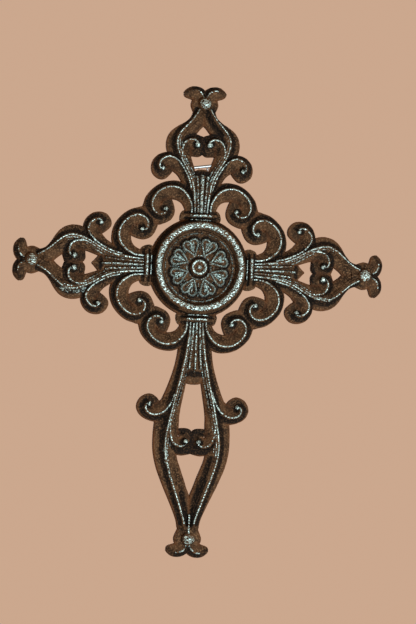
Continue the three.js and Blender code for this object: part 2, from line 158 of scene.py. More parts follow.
LYRE = [
    ((6.6, 32), (3.5, 32), (1.6, 32), 6.2),
    ((7.4, 38), (3.9, 38), (1.4, 38), 6.8),
    ((8.6, 44), (4.6, 44), (1.4, 44), 7.2),
    ((10.4, 50), (5.8, 50), (2, 50), 7.4),
    ((13.4, 56), (8.2, 55.6), (3.7, 56), 7.5),
    ((17.4, 62), (11.4, 61), (5.6, 61.4), 7.5),
    ((20.6, 67), (14, 66.4), (6.8, 65.4), 7.5),
    ((21.5, 71.5), (15.4, 71.4), (7.4, 71.4), 7.5),
    ((20.9, 75.6), (15.2, 75.4), (5.6, 76.4), 7.5),
    ((19, 79.2), (13.4, 79.2), (3.6, 78.8), 7.5),
    ((15.6, 82.2), (10.4, 82.8), (1.6, 81.4), 7.5),
    ((11.2, 84.9), (7.4, 86.2), (-0.4, 83.6), 7.5),
    ((7.8, 88), (5, 89.6), (-0.6, 87.4), 7.4),
    ((6.4, 91.6), (3.2, 93), (-0.6, 91.6), 7),
]
SIDE_EYE = (21.8, 58.8)
SIDE_STEM = [
    ((3.6, 44.6), (5.9, 44.6), (9, 44), 6.6),
    ((4.6, 50.4), (7.4, 50.4), (11.8, 50), 7),
    ((6.6, 56.2), (9.8, 55.6), (14.2, 53.6), 7.2),
    ((10, 61.6), (13, 60.4), (16.6, 55.6), 7.2),
    ((14.6, 65.4), (16.4, 63.3), (18.6, 57.2), 7.2),
    ((20.4, 67), (19.8, 64.4), (20.4, 58.4), 7.2),
]
SIDE_ROLL = [
    ((25.2, 65.6), (22.8, 63.2), 7.2),
    ((28.6, 62.2), (24.9, 60.8), 7.2),
    ((29.7, 57.8), (25.2, 58.6), 7.2),
    ((28.6, 53.8), (24.6, 57.2), 7.2),
    ((25.2, 51.1), (23.3, 56.8), 6.2),
    ((21.6, 51), (22, 57.2), 5),
    ((18.8, 53.4), (21, 57.8), 4.4),
    ((17, 55.8), (20.2, 58.6), 4.2),
    ((16, 57.8), (19.6, 59.6), 4),
]
INNER_EYE = (6.2, 70.2)
INNER_STEM = [
    ((13, 60.4), (11, 60.8), (6.4, 61.4), 6.6),
    ((14.4, 65.8), (12.4, 65.8), (6.8, 65.4), 7),
    ((14.4, 70.8), (12.2, 70.4), (7.6, 68.2), 7),
    ((12.6, 75), (10.6, 73.4), (7.4, 69.4), 7),
]
INNER_ROLL = [
    ((9.4, 77.6), (8.2, 74.7), 7),
    ((5.6, 78.5), (5.6, 74.8), 7),
    ((2, 77.6), (3.9, 73.8), 7),
    ((-0.5, 76.2), (3.1, 72.2), 7),
    ((-0.5, 72), (3.2, 70.4), 6.2),
    ((-0.5, 67.4), (4.2, 69), 5),
    ((1.8, 65.1), (5, 68.4), 4.4),
    ((5.4, 65.1), (6, 68.2), 4.2),
    ((8.6, 65.6), (7, 68.4), 4),
    ((10, 68.6), (7.9, 69.5), 4),
]

# %% Marks for the lower arm, which has longer strands
LOWER_STRAND = [
    ((6.6, 32), (3.5, 32), (1.6, 32), 6.2),
    ((8, 40), (4, 40), (1.2, 40), 7),
    ((9.6, 46), (4.8, 46), (1.2, 46), 7.2),
    ((10.4, 52), (5.6, 52), (2, 52), 7.4),
    ((11.6, 58), (6.8, 58), (3, 58), 7.5),
    ((13.2, 63.6), (8, 64), (3.8, 64), 7.5),
    ((15.2, 69.4), (9.4, 70), (4.8, 69.6), 7.5),
    ((17.2, 74.4), (10.8, 75.6), (5.8, 75.2), 7.5),
    ((19.2, 79), (12, 81), (6.8, 80.8), 7.5),
    ((21.2, 84.4), (13.2, 86.6), (7.5, 86.4), 7.5),
    ((22, 91), (14.4, 92.6), (7.6, 92.2), 7.5),
    ((22.4, 98), (15.3, 98.6), (8, 99), 7.5),
    ((22.3, 104.4), (15.6, 104.4), (8.4, 105.6), 7.5),
    ((21.4, 110.4), (15, 110.2), (7.8, 110.6), 7.5),
    ((19.7, 116.6), (13.5, 116.2), (6, 115.8), 7.5),
    ((17.4, 122.4), (11.6, 122.2), (4, 121), 7.5),
    ((14.8, 128.4), (9.4, 128.4), (2, 126.8), 7.5),
    ((12, 134.4), (7.2, 134.6), (-0.2, 132.8), 7.5),
    ((9.3, 140.4), (5, 140.8), (-0.6, 139.4), 7.4),
    ((7.1, 146), (3.2, 146.6), (-0.6, 146), 7.2),
    ((6.3, 150.4), (2.2, 151.6), (-0.6, 151.4), 7),
]
EAR_EYE = (24, 81.6)
EAR_STEM = [
    ((6.6, 72), (10.2, 71.4), (14.4, 71), 6.6),
    ((7.6, 78), (12.2, 76.6), (17, 75.2), 7),
    ((9, 84), (14.4, 81), (19.2, 77.6), 7.2),
    ((14, 88), (17.4, 84.2), (20.6, 78.6), 7.2),
    ((20, 90), (21, 85.8), (22.4, 80.2), 7.2),
]
EAR_ROLL = [
    ((26, 89), (24.8, 85.6), 7.2),
    ((30.6, 86.2), (27.2, 83.8), 7.2),
    ((32.7, 81.8), (27.8, 81.4), 7.2),
    ((31.4, 77.2), (26.8, 79.8), 7.2),
    ((28, 74.4), (25.4, 79.4), 6.2),
    ((24.2, 74), (24, 79.6), 5),
    ((21, 76), (23, 80.2), 4.4),
    ((18.8, 79), (22.4, 81), 4),
]
WINDOW_EYE = (6.2, 98.6)
WINDOW_STEM = [
    ((15.2, 86), (13, 86), (8, 86), 6.6),
    ((16.2, 91), (13.2, 91), (7.6, 90.6), 7),
    ((15.8, 97), (12.8, 96.6), (8.4, 95.6), 7),
    ((14.2, 103), (11.2, 101.2), (7.8, 97.8), 7),
]
WINDOW_ROLL = [
    ((10.6, 107.4), (8.6, 103.2), 7),
    ((6.2, 108.8), (6, 103.6), 7),
    ((2, 108.2), (4, 102.5), 7),
    ((-0.5, 106.8), (3.2, 101), 7),
    ((-0.5, 101), (3.6, 99.2), 5.8),
    ((-0.5, 95.8), (4.2, 97.4), 4.8),
    ((2, 93.2), (5, 96.4), 4.3),
    ((7, 93), (6.4, 96.4), 4),
    ((9.6, 94.2), (7.8, 96.8), 4),
]

# %% Marks for the leaves, the necks and the collars
LEAF = [(3, 32, 6), (3.4, 45, 6.2), (4.4, 53, 6), (4.8, 57, 4.6), (3.2, 58.6, 4.2),
        (1.4, 60.2, 4), (0.4, 61.2, 3.8)]
TOP_LEAF = [(3, 32, 6), (3.4, 45, 6.2), (4.2, 53, 5.6), (4.4, 56, 4.2), (2, 57.6, 3.9)]
LOWER_LEAF = [(3, 32, 6), (3.4, 45, 6.2), (4.4, 56, 6), (4.8, 62, 4.8), (4.6, 66.6, 4),
              (1.2, 67.6, 3.8)]
NECK = [(5.8, 88.5, 6.6), (6.3, 90.6, 6.6), (7.5, 93.4, 6.4), (8, 95.6, 6.2), (7.3, 98.4, 5.8),
        (4.8, 101.4, 4.6)]
COLLAR = [(11.9, 27.8, 29.8, 3.8), (11.4, 26.6, 31.6, 4), (10.4, 26.2, 33, 4.5),
          (8.6, 26, 33.8, 5.2), (6.8, 25.6, 34, 6.6), (5.9, 25.4, 34, 8.6), (0, 25.4, 34, 8.9)]
FINIAL_LEAF = [
    ((-0.4, 103.2), (0.8, 99.8), (2.4, 96.4), 4.6),
    ((0.4, 104.4), (2.4, 102.2), (5.6, 97.6), 6.4),
    ((3, 105.9), (4.2, 103.4), (7.6, 98.4), 6.6),
    ((6.2, 106.4), (6.4, 103.8), (9, 98.9), 6.2),
    ((9.2, 105.7), (8.8, 103.4), (10.6, 99.4), 5.6),
    ((11.4, 104), (10.8, 102.6), (11.8, 100.2), 4.9),
    ((12.4, 102.6), (12.2, 102.1), (12.3, 101.3), 4.2),
]
REED = [(1.8, 32), (2.5, 45), (3.2, 54)]
LOWER_REED = [(1.8, 32), (2.5, 48), (3.4, 59)]
MIDDLE_REED = [(0, 32), (0, 45), (0, 56)]
TOP_MIDDLE_REED = [(0, 32), (0, 45), (0, 53.5)]
LOWER_MIDDLE_REED = [(0, 32), (0, 48), (0, 60.5)]
LOWER_END_REED = [(0, 143), (0, 149), (0, 155)]

# %% [markdown]
# ## A smooth line through the marks
#
# A Catmull-Rom curve passes through every mark and bends evenly between them. The helper returns
# the points at many places along the line in one go.

# %% Curve helper
def smooth_line(marks, places):
    marks = np.asarray(marks, float)
    if marks.ndim == 1:
        marks = marks[:, None]
    last = len(marks) - 1
    at = np.clip(places, 0, 1) * last
    i = np.minimum(at.astype(int), last - 1)
    t = (at - i)[:, None]
    a, b = marks[np.maximum(i - 1, 0)], marks[i]
    c, d = marks[i + 1], marks[np.minimum(i + 2, last)]
    start, end = (c - a) / 2, (d - b) / 2
    return ((2 * b - 2 * c + start + end) * t**3 + (3 * c - 3 * b - 2 * start - end) * t**2
            + start * t + b)

# %% [markdown]
# ## Where the metal gets rubbed, and where soot, painted shade and a painted glow go
#
# The finish depends on the carving: crests are rubbed pale. The hollow beside a crest is painted
# black, for soot and for painted shade, and the thin rim of each strand gets a painted warm glow of
# light bounced back onto it. So each carved line is noted down as it is made, with how wide and how
# strong its mark is. Once everything is joined, each point of the casting looks up the nearest note.

# %% Notes of the carved lines
rub_notes = []
# black marks: soot, and painted shade in hollows, grooves and on flanks turned from the light
dark_notes = []
# a painted glow of warm bounced light along the rims
rim_glow_notes = []


def note(notes, points, radius, strength, places):
    points = np.asarray(points, float)
    for place in places:
        m = np.array(place)
        notes.append((points @ m[:3, :3].T + m[:3, 3], radius, strength))


# %% [markdown]
# ## A carved section
#
# Cut across, a strand is a ridge. A thin round bead runs on the crest. Outside it the flank drops
# steeply and then flattens out towards a softened edge. Inside it the flank falls almost straight.
# Some strands carry finer beads a little inside the crest, squeezed together where the strand is
# narrow. The section is worked out as distances from the crest and heights above the back, for any
# width of strand.

# %% Section helpers
BEAD = ((0.28, 0.06), (0.5, 0.3), (0.8, 0.55))  # away from the crest, and down from it
SOFT_EDGE = ((0.75, 0.45), (0.35, 0.22), (0.1, -0.25), (0.0, -1.0))  # in from the edge, and up
FINE_BEAD = ((-0.5, 0.0), (-0.25, 0.35), (0.0, 0.48), (0.25, 0.35), (0.5, 0.0))
FINE_LINES = (1.5, 2.9)  # how far inside the crest the fine beads run
FINE_ROOM = 2.3  # a side narrower than this has no room for fine beads
FULL_WIDTH = 3.0  # a side narrower than this gets a slimmer bead and edge


def heights_at(at, away, tall):
    return np.array([np.interp(x, a, h) for x, a, h in zip(at, away, tall)])


def squeeze(width):
    return np.minimum(1.0, width / (FINE_LINES[-1] + 1.0))


def room(width):
    return np.clip(width - FINE_ROOM, 0, 1)


def flank(width, crest, steps, sag, fine=False):
    fit = np.minimum(1.0, width / FULL_WIDTH)
    away = [fit * a for a, _ in BEAD]
    tall = [crest - fit * down for _, down in BEAD]
    foot_at, foot = away[-1], tall[-1]
    rim_at, rim = width - fit * SOFT_EDGE[0][0], SHOULDER + SOFT_EDGE[0][1] + 0 * crest
    for s in np.linspace(0, 1, steps + 1)[1:-1]:
        away.append(foot_at + (rim_at - foot_at) * s)
        tall.append(foot + (rim - foot) * (1 - (1 - s) ** sag))
    for inward, up in SOFT_EDGE:
        away.append(width - fit * inward)
        tall.append(SHOULDER + up + 0 * crest)
    away, tall = np.array(away).T, np.array(tall).T
    if fine:
        plain_away, plain_tall = away, tall
        for k, lift in [(line + k, lift) for line in FINE_LINES for k, lift in FINE_BEAD]:
            at = k * squeeze(width)
            base = heights_at(at, plain_away, plain_tall)
            away = np.column_stack([away, at])
            tall = np.column_stack([tall, base + lift * room(width)])
        order = np.argsort(away, axis=1)
        away = np.take_along_axis(away, order, axis=1)
        tall = np.take_along_axis(tall, order, axis=1)
    return away, tall


# %% [markdown]
# ## A strand
#
# The carved face is a flat grid, as many columns as the section has points and as many rows as the
# strand is long. Each vertex of the grid is moved to its place between the three lines. The rim of
# that sheet is then extruded past the flat back and closed, which gives a solid that can be joined
# to others.

# %% Sheet and solid helpers
def close_behind(bm):
    rim = [e for e in bm.edges if e.is_boundary]
    walls = bmesh.ops.extrude_edge_only(bm, edges=rim)["geom"]
    for v in walls:
        if isinstance(v, bmesh.types.BMVert):
            v.co.y = STOCK
    open_edges = [e for e in bm.edges if e.is_boundary]
    back = bmesh.ops.edgeloop_fill(bm, edges=open_edges)["faces"]
    bmesh.ops.triangulate(bm, faces=back, quad_method="BEAUTY", ngon_method="EAR_CLIP")
    bmesh.ops.recalc_face_normals(bm, faces=bm.faces[:])


def sheet_from(across_out, heights):
    rows, columns = heights.shape
    bm = bmesh.new()
    bmesh.ops.create_grid(bm, x_segments=columns - 1, y_segments=rows - 1, size=1.0)
    for v in bm.verts:
        c = round((v.co.x + 1) / 2 * (columns - 1))
        r = round((v.co.y + 1) / 2 * (rows - 1))
        v.co = (across_out[r, c, 0], -heights[r, c], across_out[r, c, 1])
    bmesh.ops.remove_doubles(bm, verts=bm.verts[:], dist=1e-5)
    return bm


# %% Strand from three lines
OUTER_SAG, INNER_SAG = 2.4, 1.15  # how soon each flank levels out
OUTER_STEPS, INNER_STEPS = 5, 4  # columns of the grid on each flank
WAVER, WAVER_SCALE, WAVER_LAYER = 0.3, 0.8, 3.7  # hand-carved unevenness of a crest
CREST_RADIUS, CREST_WEAR = 0.42, 1.18
FINE_RADIUS = (0.36, 0.34)  # of a fine bead's near and far stretch
FINE_WEAR = ((0.9, 0.55), (0.7, 0.25))
NEAR_END, FAR_END = 0.45, 0.66  # where those stretches end along the strand
SHADE_SHARE, SHADE_OUT = 0.45, 1.9  # painted shade and soot lie this far down the outer flank, in share and in mm
WORN_SHADE, PLAIN_SHADE = (1.75, 1.0), (2.6, 0.42)
RIM_RADIUS, RIM_UNDER = 0.95, 0.3  # the painted glow on the rim runs just under the shoulder


def strand(marks, places, rows_each=5, eye=None, first=0, last=None, fine=False, sag=OUTER_SAG,
           rub=1.0, worn_until=99):
    last = len(marks) - 1 if last is None else last
    rows = (last - first) * rows_each + 1
    along = np.linspace(first, last, rows) / (len(marks) - 1)
    outer, crest, inner = (smooth_line([m[k] for m in marks], along) for k in range(3))
    if eye is not None:
        inner = np.repeat([eye], rows, axis=0)
    top = smooth_line([m[3] for m in marks], along)[:, 0]
    top = top + np.array([WAVER * noise.noise(Vector((x, y, WAVER_LAYER)) * WAVER_SCALE)
                          for x, y in crest])
    to_outer, to_inner = outer - crest, inner - crest
    out_width, in_width = np.linalg.norm(to_outer, axis=1), np.linalg.norm(to_inner, axis=1)
    out_away, out_tall = flank(out_width, top, OUTER_STEPS, sag)
    in_away, in_tall = flank(in_width, top, INNER_STEPS, INNER_SAG, fine)
    out_share = (out_away / out_width[:, None])[:, ::-1, None]
    in_share = (in_away / in_width[:, None])[:, :, None]
    spots = np.concatenate([
        crest[:, None] + out_share * to_outer[:, None],
        crest[:, None],
        crest[:, None] + in_share * to_inner[:, None],
    ], axis=1)
    heights = np.concatenate([out_tall[:, ::-1], top[:, None], in_tall], axis=1)
    bm = sheet_from(spots, heights)
    close_behind(bm)
    worn = along * (len(marks) - 1) <= worn_until

    def on_flank(toward, width, away, tall, at):
        spot = crest + toward * (at / width)[:, None]
        return np.column_stack([spot[:, 0], -heights_at(at, away, tall), spot[:, 1]])

    if fine:
        near = (room(in_width) > 0.5) & (along < NEAR_END)
        far = (along >= NEAR_END) & (along < FAR_END)
        for at, wear in zip(FINE_LINES, FINE_WEAR):
            bead = on_flank(to_inner, in_width, in_away, in_tall, at * squeeze(in_width))
            for stretch, radius, strength in zip((near, far), FINE_RADIUS, wear):
                note(rub_notes, bead[stretch], radius, strength, places)
    if rub:
        line = np.column_stack([crest[:, 0], -top, crest[:, 1]])
        note(rub_notes, line[worn], CREST_RADIUS, CREST_WEAR * rub, places)
        shade_at = np.minimum(SHADE_SHARE * out_width, SHADE_OUT)
        shade = on_flank(to_outer, out_width, out_away, out_tall, shade_at)
        note(dark_notes, shade[worn], *WORN_SHADE, places)
        note(dark_notes, shade[~worn], *PLAIN_SHADE, places)
    for edge in (outer, inner) if eye is None else (outer,):
        rim = np.column_stack([edge[:, 0], np.full(rows, RIM_UNDER - SHOULDER), edge[:, 1]])
        note(rim_glow_notes, rim, RIM_RADIUS, 1.0, places)
    return bm


# %% [markdown]
# ## A place for every copy
#
# An arm is drawn once, upright, and only its right half. Each solid gets a list of places: the half
# and its mirror image, times the arms that use it. A mirrored copy is inside out until its faces
# are flipped.

# %% Places of the arms
MIRROR = Matrix.Scale(-1, 4, (1, 0, 0))


def arm_place(quarter_turns, reach):
    return Matrix.Rotation(quarter_turns * math.pi / 2, 4, "Y") @ Matrix.Scale(reach, 4, (0, 0, 1))


TOP = arm_place(0, TOP_REACH)
RIGHT = arm_place(1, SIDE_REACH)
LOWER = arm_place(2, 1.0)
LEFT = arm_place(3, SIDE_REACH)
SHORT_ARMS = [TOP, RIGHT, LEFT]
ALL_ARMS = [TOP, RIGHT, LEFT, LOWER]


def halves(places):
    return [p @ side for p in places for side in (Matrix.Identity(4), MIRROR)]


# %% Workshop that holds every copy
FRONTWARDS = Matrix.Rotation(math.pi / 2, 3, "X")
workshop = bpy.data.collections.new("workshop")
scene.collection.children.link(workshop)
to_metres = Matrix.Translation((0, 0, -MEDALLION_DROP * MM)) @ Matrix.Scale(MM, 4)


def cast_copies(name, bm, places):
    for k, place in enumerate(places):
        copy = bm.copy()
        bmesh.ops.transform(copy, matrix=place, verts=copy.verts[:])
        if place.determinant() < 0:
            bmesh.ops.reverse_faces(copy, faces=copy.faces[:])
        mesh = bpy.data.meshes.new(f"{name}_{k}")
        copy.to_mesh(mesh)
        copy.free()
        workshop.objects.link(bpy.data.objects.new(mesh.name, mesh))
    faces = len(bm.faces)
    bm.free()
    print(f"{name}: {len(places)} copies of {faces} faces")


# %% [markdown]
# ## The scrolls and strands of the arms
#
# A volute rolls about its own eye, so it is made as two solids that meet where the roll begins:
# a stem, and a roll that fans out from the eye. A plug fills the pit that they leave at the eye,
# and the curl ends in a small dot.

# %% Volutes
DOT_SINK = 0.85  # the dot's middle, below the crest
DOT_INWARD = 0.15  # and moved this share of the way to the eye
DOT_WEAR, DOT_SHADE, SHADE_SINK = 1.45, 3.3, 1.2
PLUG_TOP, PLUG_RADII = 3.9, (1.5, 1.1)


def volute(name, stem, roll, eye, crest_end, places, rub=1.0, dot_radius=1.45):
    marks = stem + [(outer, crest, eye, top) for outer, crest, top in roll]
    turn = len(stem)
    cast_copies(name + "_stem", strand(marks, places, last=turn, rub=rub), places)
    rolled = strand(marks, places, eye=eye, first=turn, rub=rub, worn_until=crest_end)
    cast_copies(name + "_roll", rolled, places)
    end = np.array([crest_end / (len(marks) - 1)])
    x, out = smooth_line([m[1] for m in marks], end)[0]
    top = smooth_line([m[3] for m in marks], end)[0, 0]
    x, out = np.array((x, out)) * (1 - DOT_INWARD) + np.array(eye) * DOT_INWARD
    dot = bmesh.new()
    bmesh.ops.create_uvsphere(dot, u_segments=16, v_segments=10, radius=dot_radius)
    bmesh.ops.translate(dot, vec=(x, -(top - DOT_SINK), out), verts=dot.verts[:])
    note(rub_notes, [(x, -(top - DOT_SINK + dot_radius), out)], dot_radius, DOT_WEAR, places)
    cast_copies(name + "_dot", dot, places)
    note(dark_notes, [(x, SHADE_SINK - top, out)], DOT_SHADE, 1.0, places)
    plug = bmesh.new()
    bmesh.ops.create_cone(plug, cap_ends=True, segments=20, radius1=PLUG_RADII[0],
                          radius2=PLUG_RADII[1], depth=STOCK + PLUG_TOP)
    bmesh.ops.rotate(plug, cent=(0, 0, 0), matrix=FRONTWARDS, verts=plug.verts[:])
    bmesh.ops.translate(plug, vec=(eye[0], (STOCK - PLUG_TOP) / 2, eye[1]), verts=plug.verts[:])
    cast_copies(name + "_plug", plug, places)


upper_scrolls = halves(SHORT_ARMS)
lower_scrolls = halves([LOWER @ Matrix.Scale(LOWER_SCROLL_REACH, 4, (0, 0, 1))])
volute("scroll", SCROLL_STEM, SCROLL_ROLL, SCROLL_EYE, 14.4, upper_scrolls + lower_scrolls)
volute("side_volute", SIDE_STEM, SIDE_ROLL, SIDE_EYE, 9.6, halves(SHORT_ARMS))
volute("inner_volute", INNER_STEM, INNER_ROLL, INNER_EYE, 7.0, halves(SHORT_ARMS), dot_radius=1.8)
volute("ear_volute", EAR_STEM, EAR_ROLL, EAR_EYE, 8.6, halves([LOWER]))
volute("window_volute", WINDOW_STEM, WINDOW_ROLL, WINDOW_EYE, 6.8, halves([LOWER]), rub=0.9)

# %% Lyre strands
cast_copies("lyre", strand(LYRE, halves(SHORT_ARMS), fine=True), halves(SHORT_ARMS))
cast_copies("lower_strand", strand(LOWER_STRAND, halves([LOWER]), fine=True, worn_until=19.3),
            halves([LOWER]))

# %% [markdown]
# ## Leaves and necks
#
# A small leaf closes the reeds in the middle of each arm, and a neck carries its end. They lie on
# the arm's own axis and are alike on both sides, so their outer line is simply the mirror image of
# the inner one. The two leaves of an arm's end are a strand and its mirror image.

# %% Pieces on the axis of an arm
LEAF_SAG = 1.1


def on_axis(name, marks, places):
    lines = [((-half, out), (0.0, out), (half, out), top) for half, out, top in marks]
    cast_copies(name, strand(lines, places, rows_each=4, sag=LEAF_SAG, rub=0.0), places)


on_axis("leaf", LEAF, [RIGHT, LEFT])
on_axis("top_leaf", TOP_LEAF, [TOP])
on_axis("lower_leaf", LOWER_LEAF, [LOWER])
finial_places = SHORT_ARMS + [LOWER @ Matrix.Translation((0, 0, LOWER_FINIAL_SHIFT))]
on_axis("neck", NECK, finial_places)
finial_halves = halves(finial_places)
cast_copies("finial_leaf", strand(FINIAL_LEAF, finial_halves, rub=0.75, worn_until=3.2),
            finial_halves)

# %% [markdown]
# ## Balls and collars
#
# A ball sits between the two leaves of each arm's end. A ready sphere is enough for it. The collar
# clasps the root of the arm and crosses it: its sheet runs from side to side, and its profile, taken
# outwards along the arm, carries two rings. A lathe couldn't turn it, because it is flat behind.

# %% Balls of the finials
BALL_WEAR = 3.4
ball = bmesh.new()
bmesh.ops.create_uvsphere(ball, u_segments=32, v_segments=20, radius=BALL_RADIUS)
bmesh.ops.rotate(ball, cent=(0, 0, 0), matrix=FRONTWARDS, verts=ball.verts[:])
bmesh.ops.translate(ball, vec=(0, BALL_RADIUS - BALL_TOP, BALL_OUT), verts=ball.verts[:])
note(rub_notes, [(0, -BALL_TOP, BALL_OUT)], BALL_WEAR, 1.0, finial_places)
cast_copies("ball", ball, finial_places)

# %% Collars
COLLAR_PROFILE = ((25.4, -1.0), (25.8, 0.0), (26.4, 0.15), (27.0, 0.28), (27.2, 0.55), (27.5, 0.72),
                  (27.8, 0.72), (28.1, 0.5), (28.5, 0.42), (28.9, 0.6), (29.3, 0.88), (29.8, 1.0),
                  (30.5, 1.0), (31.0, 0.86), (31.4, 0.55), (32.0, 0.4), (33.0, 0.2), (34.0, -0.3))
COLLAR_ROWS, COLLAR_HALF = 61, COLLAR[0][0]
across = np.linspace(-COLLAR_HALF, COLLAR_HALF, COLLAR_ROWS)
side_marks = [(-x, low, high, top) for x, low, high, top in COLLAR[:-1]] + [
    (x, low, high, top) for x, low, high, top in COLLAR[::-1]]
side_x = [m[0] for m in side_marks]
low, high, top = (np.interp(across, side_x, [m[k] for m in side_marks]) for k in (1, 2, 3))
out_marks = np.array([p[0] for p in COLLAR_PROFILE])
out_share = (out_marks - out_marks[0]) / (out_marks[-1] - out_marks[0])
shape = np.array([p[1] for p in COLLAR_PROFILE])
collar_spots = np.stack([
    np.repeat(across[:, None], len(shape), axis=1),
    low[:, None] + (high - low)[:, None] * out_share[None],
], axis=2)
collar_heights = SHOULDER + (top - SHOULDER)[:, None] * shape[None]
collar = sheet_from(collar_spots, collar_heights)
close_behind(collar)
cast_copies("collar", collar, ALL_ARMS)

# %% Wear, and soot with painted shade in the grooves, on the collars
COLLAR_WEAR = ((COLLAR_CREST, 1.0, 6.3, 0.85, 1.0),  # at, share of the height, half length,
               (27.6, 0.72, 5.6, 0.5, 0.7))  # radius, strength
# soot and painted shade in the collar's grooves: at, and share of the height
COLLAR_SOOT_AND_SHADE = ((28.7, 0.5), (26.2, 0.2), (32.0, 0.4))
SOOT_AND_SHADE_HALF, SOOT_AND_SHADE_RADIUS, SOOT_AND_SHADE_STRENGTH = 9, 0.9, 0.9


def collar_line(half, step, at, share):
    xs = np.arange(-half, half, step)
    height = SHOULDER + share * (np.interp(xs, side_x, [m[3] for m in side_marks]) - SHOULDER)
    return np.column_stack([xs, -height, 0 * xs + at])


for at, share, half, radius, strength in COLLAR_WEAR:
    note(rub_notes, collar_line(half, 0.3, at, share), radius, strength, ALL_ARMS)
for at, share in COLLAR_SOOT_AND_SHADE:
    note(dark_notes, collar_line(SOOT_AND_SHADE_HALF, 0.4, at, share), SOOT_AND_SHADE_RADIUS, SOOT_AND_SHADE_STRENGTH, ALL_ARMS)

# %% [markdown]
# ## Reeds
#
# Three reeds run up the root of each arm, and a short one closes the long arm. Each is a half-round
# bead that follows a line, made from the same kind of sheet.

# %% Reeds
REED_TOP = 7.25
REED_SECTION = ((-0.9, 3.0), (-0.75, 6.1), (-0.5, 6.9), (-0.2, REED_TOP), (0.2, REED_TOP),
                (0.5, 6.9), (0.75, 6.1), (0.9, 3.0))
REED_ROWS, REED_WEAR_RADIUS = 40, 0.72
END_FALL, FALL_SHARE = 1.6, 0.1  # the reed sinks by this much over this last share of it


def reed(name, marks, places, rub=1.0, broad=1.0):
    along = np.linspace(0, 1, REED_ROWS)
    line = smooth_line(marks, along)
    way = np.gradient(line, axis=0)
    way /= np.linalg.norm(way, axis=1)[:, None]
    side = np.column_stack([way[:, 1], -way[:, 0]])
    offsets = broad * np.array([s[0] for s in REED_SECTION])
    end_fall = END_FALL * np.clip((along - (1 - FALL_SHARE)) / FALL_SHARE, 0, 1) ** 2
    spots = line[:, None] + offsets[None, :, None] * side[:, None]
    heights = np.array([s[1] for s in REED_SECTION])[None] - end_fall[:, None]
    bm = sheet_from(spots, heights)
    close_behind(bm)
    crest = np.column_stack([line[:, 0], end_fall - REED_TOP, line[:, 1]])
    note(rub_notes, crest, REED_WEAR_RADIUS * broad, rub, places)
    cast_copies(name, bm, places)


reed("reed", REED, halves(SHORT_ARMS), rub=0.55)
reed("lower_reed", LOWER_REED, halves([LOWER]), rub=0.75)
reed("middle_reed", MIDDLE_REED, [RIGHT, LEFT])
reed("top_middle_reed", TOP_MIDDLE_REED, [TOP], broad=1.45)
reed("lower_middle_reed", LOWER_MIDDLE_REED, [LOWER])
reed("lower_end_reed", LOWER_END_REED, [LOWER])

# %% [markdown]
# ## The medallion
#
# The medallion is round, so its outline is turned with the spin operator, as a potter would throw
# it. The flower is then carved into the turned face by moving its vertices: each one asks how far
# it is from the rim of the nearest petal, from a rib or from a circle, and rises by that much.

# %% Turned outline of the medallion
TURNS = 264
RING_TOP, BOWL = 12.3, 5.8
face_radii = [0.0, *np.arange(0.35, 6.4, 0.35), *np.arange(6.4, 20.4, 0.33)]
outline = [(r, BOWL) for r in face_radii]
outline += [(20.4, BOWL), (20.9, 6.1), (21.3, 6.6), (21.7, 7.6), (22.0, 9.0), (22.2, 10.6),
            (22.5, 11.6), (22.9, 12.1), (23.4, RING_TOP), (24.0, RING_TOP), (24.6, RING_TOP),
            (25.1, 12.2), (25.6, 11.9), (26.0, 11.3), (26.3, 10.3), (26.8, 8.2), (27.4, 6.2),
            (28.0, 4.8), (28.6, 3.9), (29.0, 3.2), (29.1, 2.4), (29.1, -STOCK), (0.0, -STOCK)]
medallion = bmesh.new()
verts = [medallion.verts.new((r, -h, 0)) for r, h in outline]
edges = [medallion.edges.new(pair) for pair in zip(verts, verts[1:])]
bmesh.ops.spin(medallion, geom=verts + edges, cent=(0, 0, 0), axis=(0, 1, 0), dvec=(0, 0, 0),
               angle=2 * math.pi, steps=TURNS, use_merge=True, use_normal_flip=False,
               use_duplicate=False)
bmesh.ops.remove_doubles(medallion, verts=medallion.verts[:], dist=1e-4)
bmesh.ops.recalc_face_normals(medallion, faces=medallion.faces[:])
print("turned medallion", len(medallion.verts), "vertices")

# %% Lines of the flower
PETALS = 8
PETAL_RIM = [(0.5, 7.8), (2.4, 10.4), (4.2, 13.2), (4.3, 15.4), (2.6, 16.7), (0.9, 16.3),
             (0, 14.6)]
PETAL_START, PETAL_END = 7.8, 16.6
RIM_RISE, PETAL_LIFT, RIB_RISE, GAP_RISE = 2.0, 0.45, 1.2, 0.75
MIDDLE_RIB = ((0, 9.2), (0, 13.6))
SIDE_RIB = ((0.5, 9.6), (1.8, 14.6))
GAP_RIB = ((0, 8.4), (0, 16.6))  # between two petals
OUTER_CIRCLE, INNER_CIRCLE, BUTTON_GROOVE, BUTTON_EDGE = 19.6, 7.0, 5.6, 5.1
BUTTON_AT = [0, 0.9, 1.5, 2.2, 3.0, 3.6, 4.2, 4.7, BUTTON_EDGE]
BUTTON_RISE = [3.0, 2.7, 1.7, 1.5, 2.3, 2.7, 2.6, 1.6, 0]
rim_line = smooth_line(PETAL_RIM, np.linspace(0, 1, 60))
rim_outwards = rim_line[:45]  # up to where it turns back to the petal's middle


def hump(distance, half_width):
    return np.clip(1 - (distance / half_width) ** 2, 0, 1) ** 1.5


def stroke(points, start, end):
    start, end = np.array(start), np.array(end)
    way = end - start
    t = np.clip(((points - start) @ way) / (way @ way), 0, 1)
    return np.linalg.norm(points - start - t[:, None] * way, axis=1)


def bowl_floor(radius):
    return 0.9 * np.clip((radius - 15.0) / 3.0, 0, 1) * np.clip((20.2 - radius) / 1.6, 0, 1)


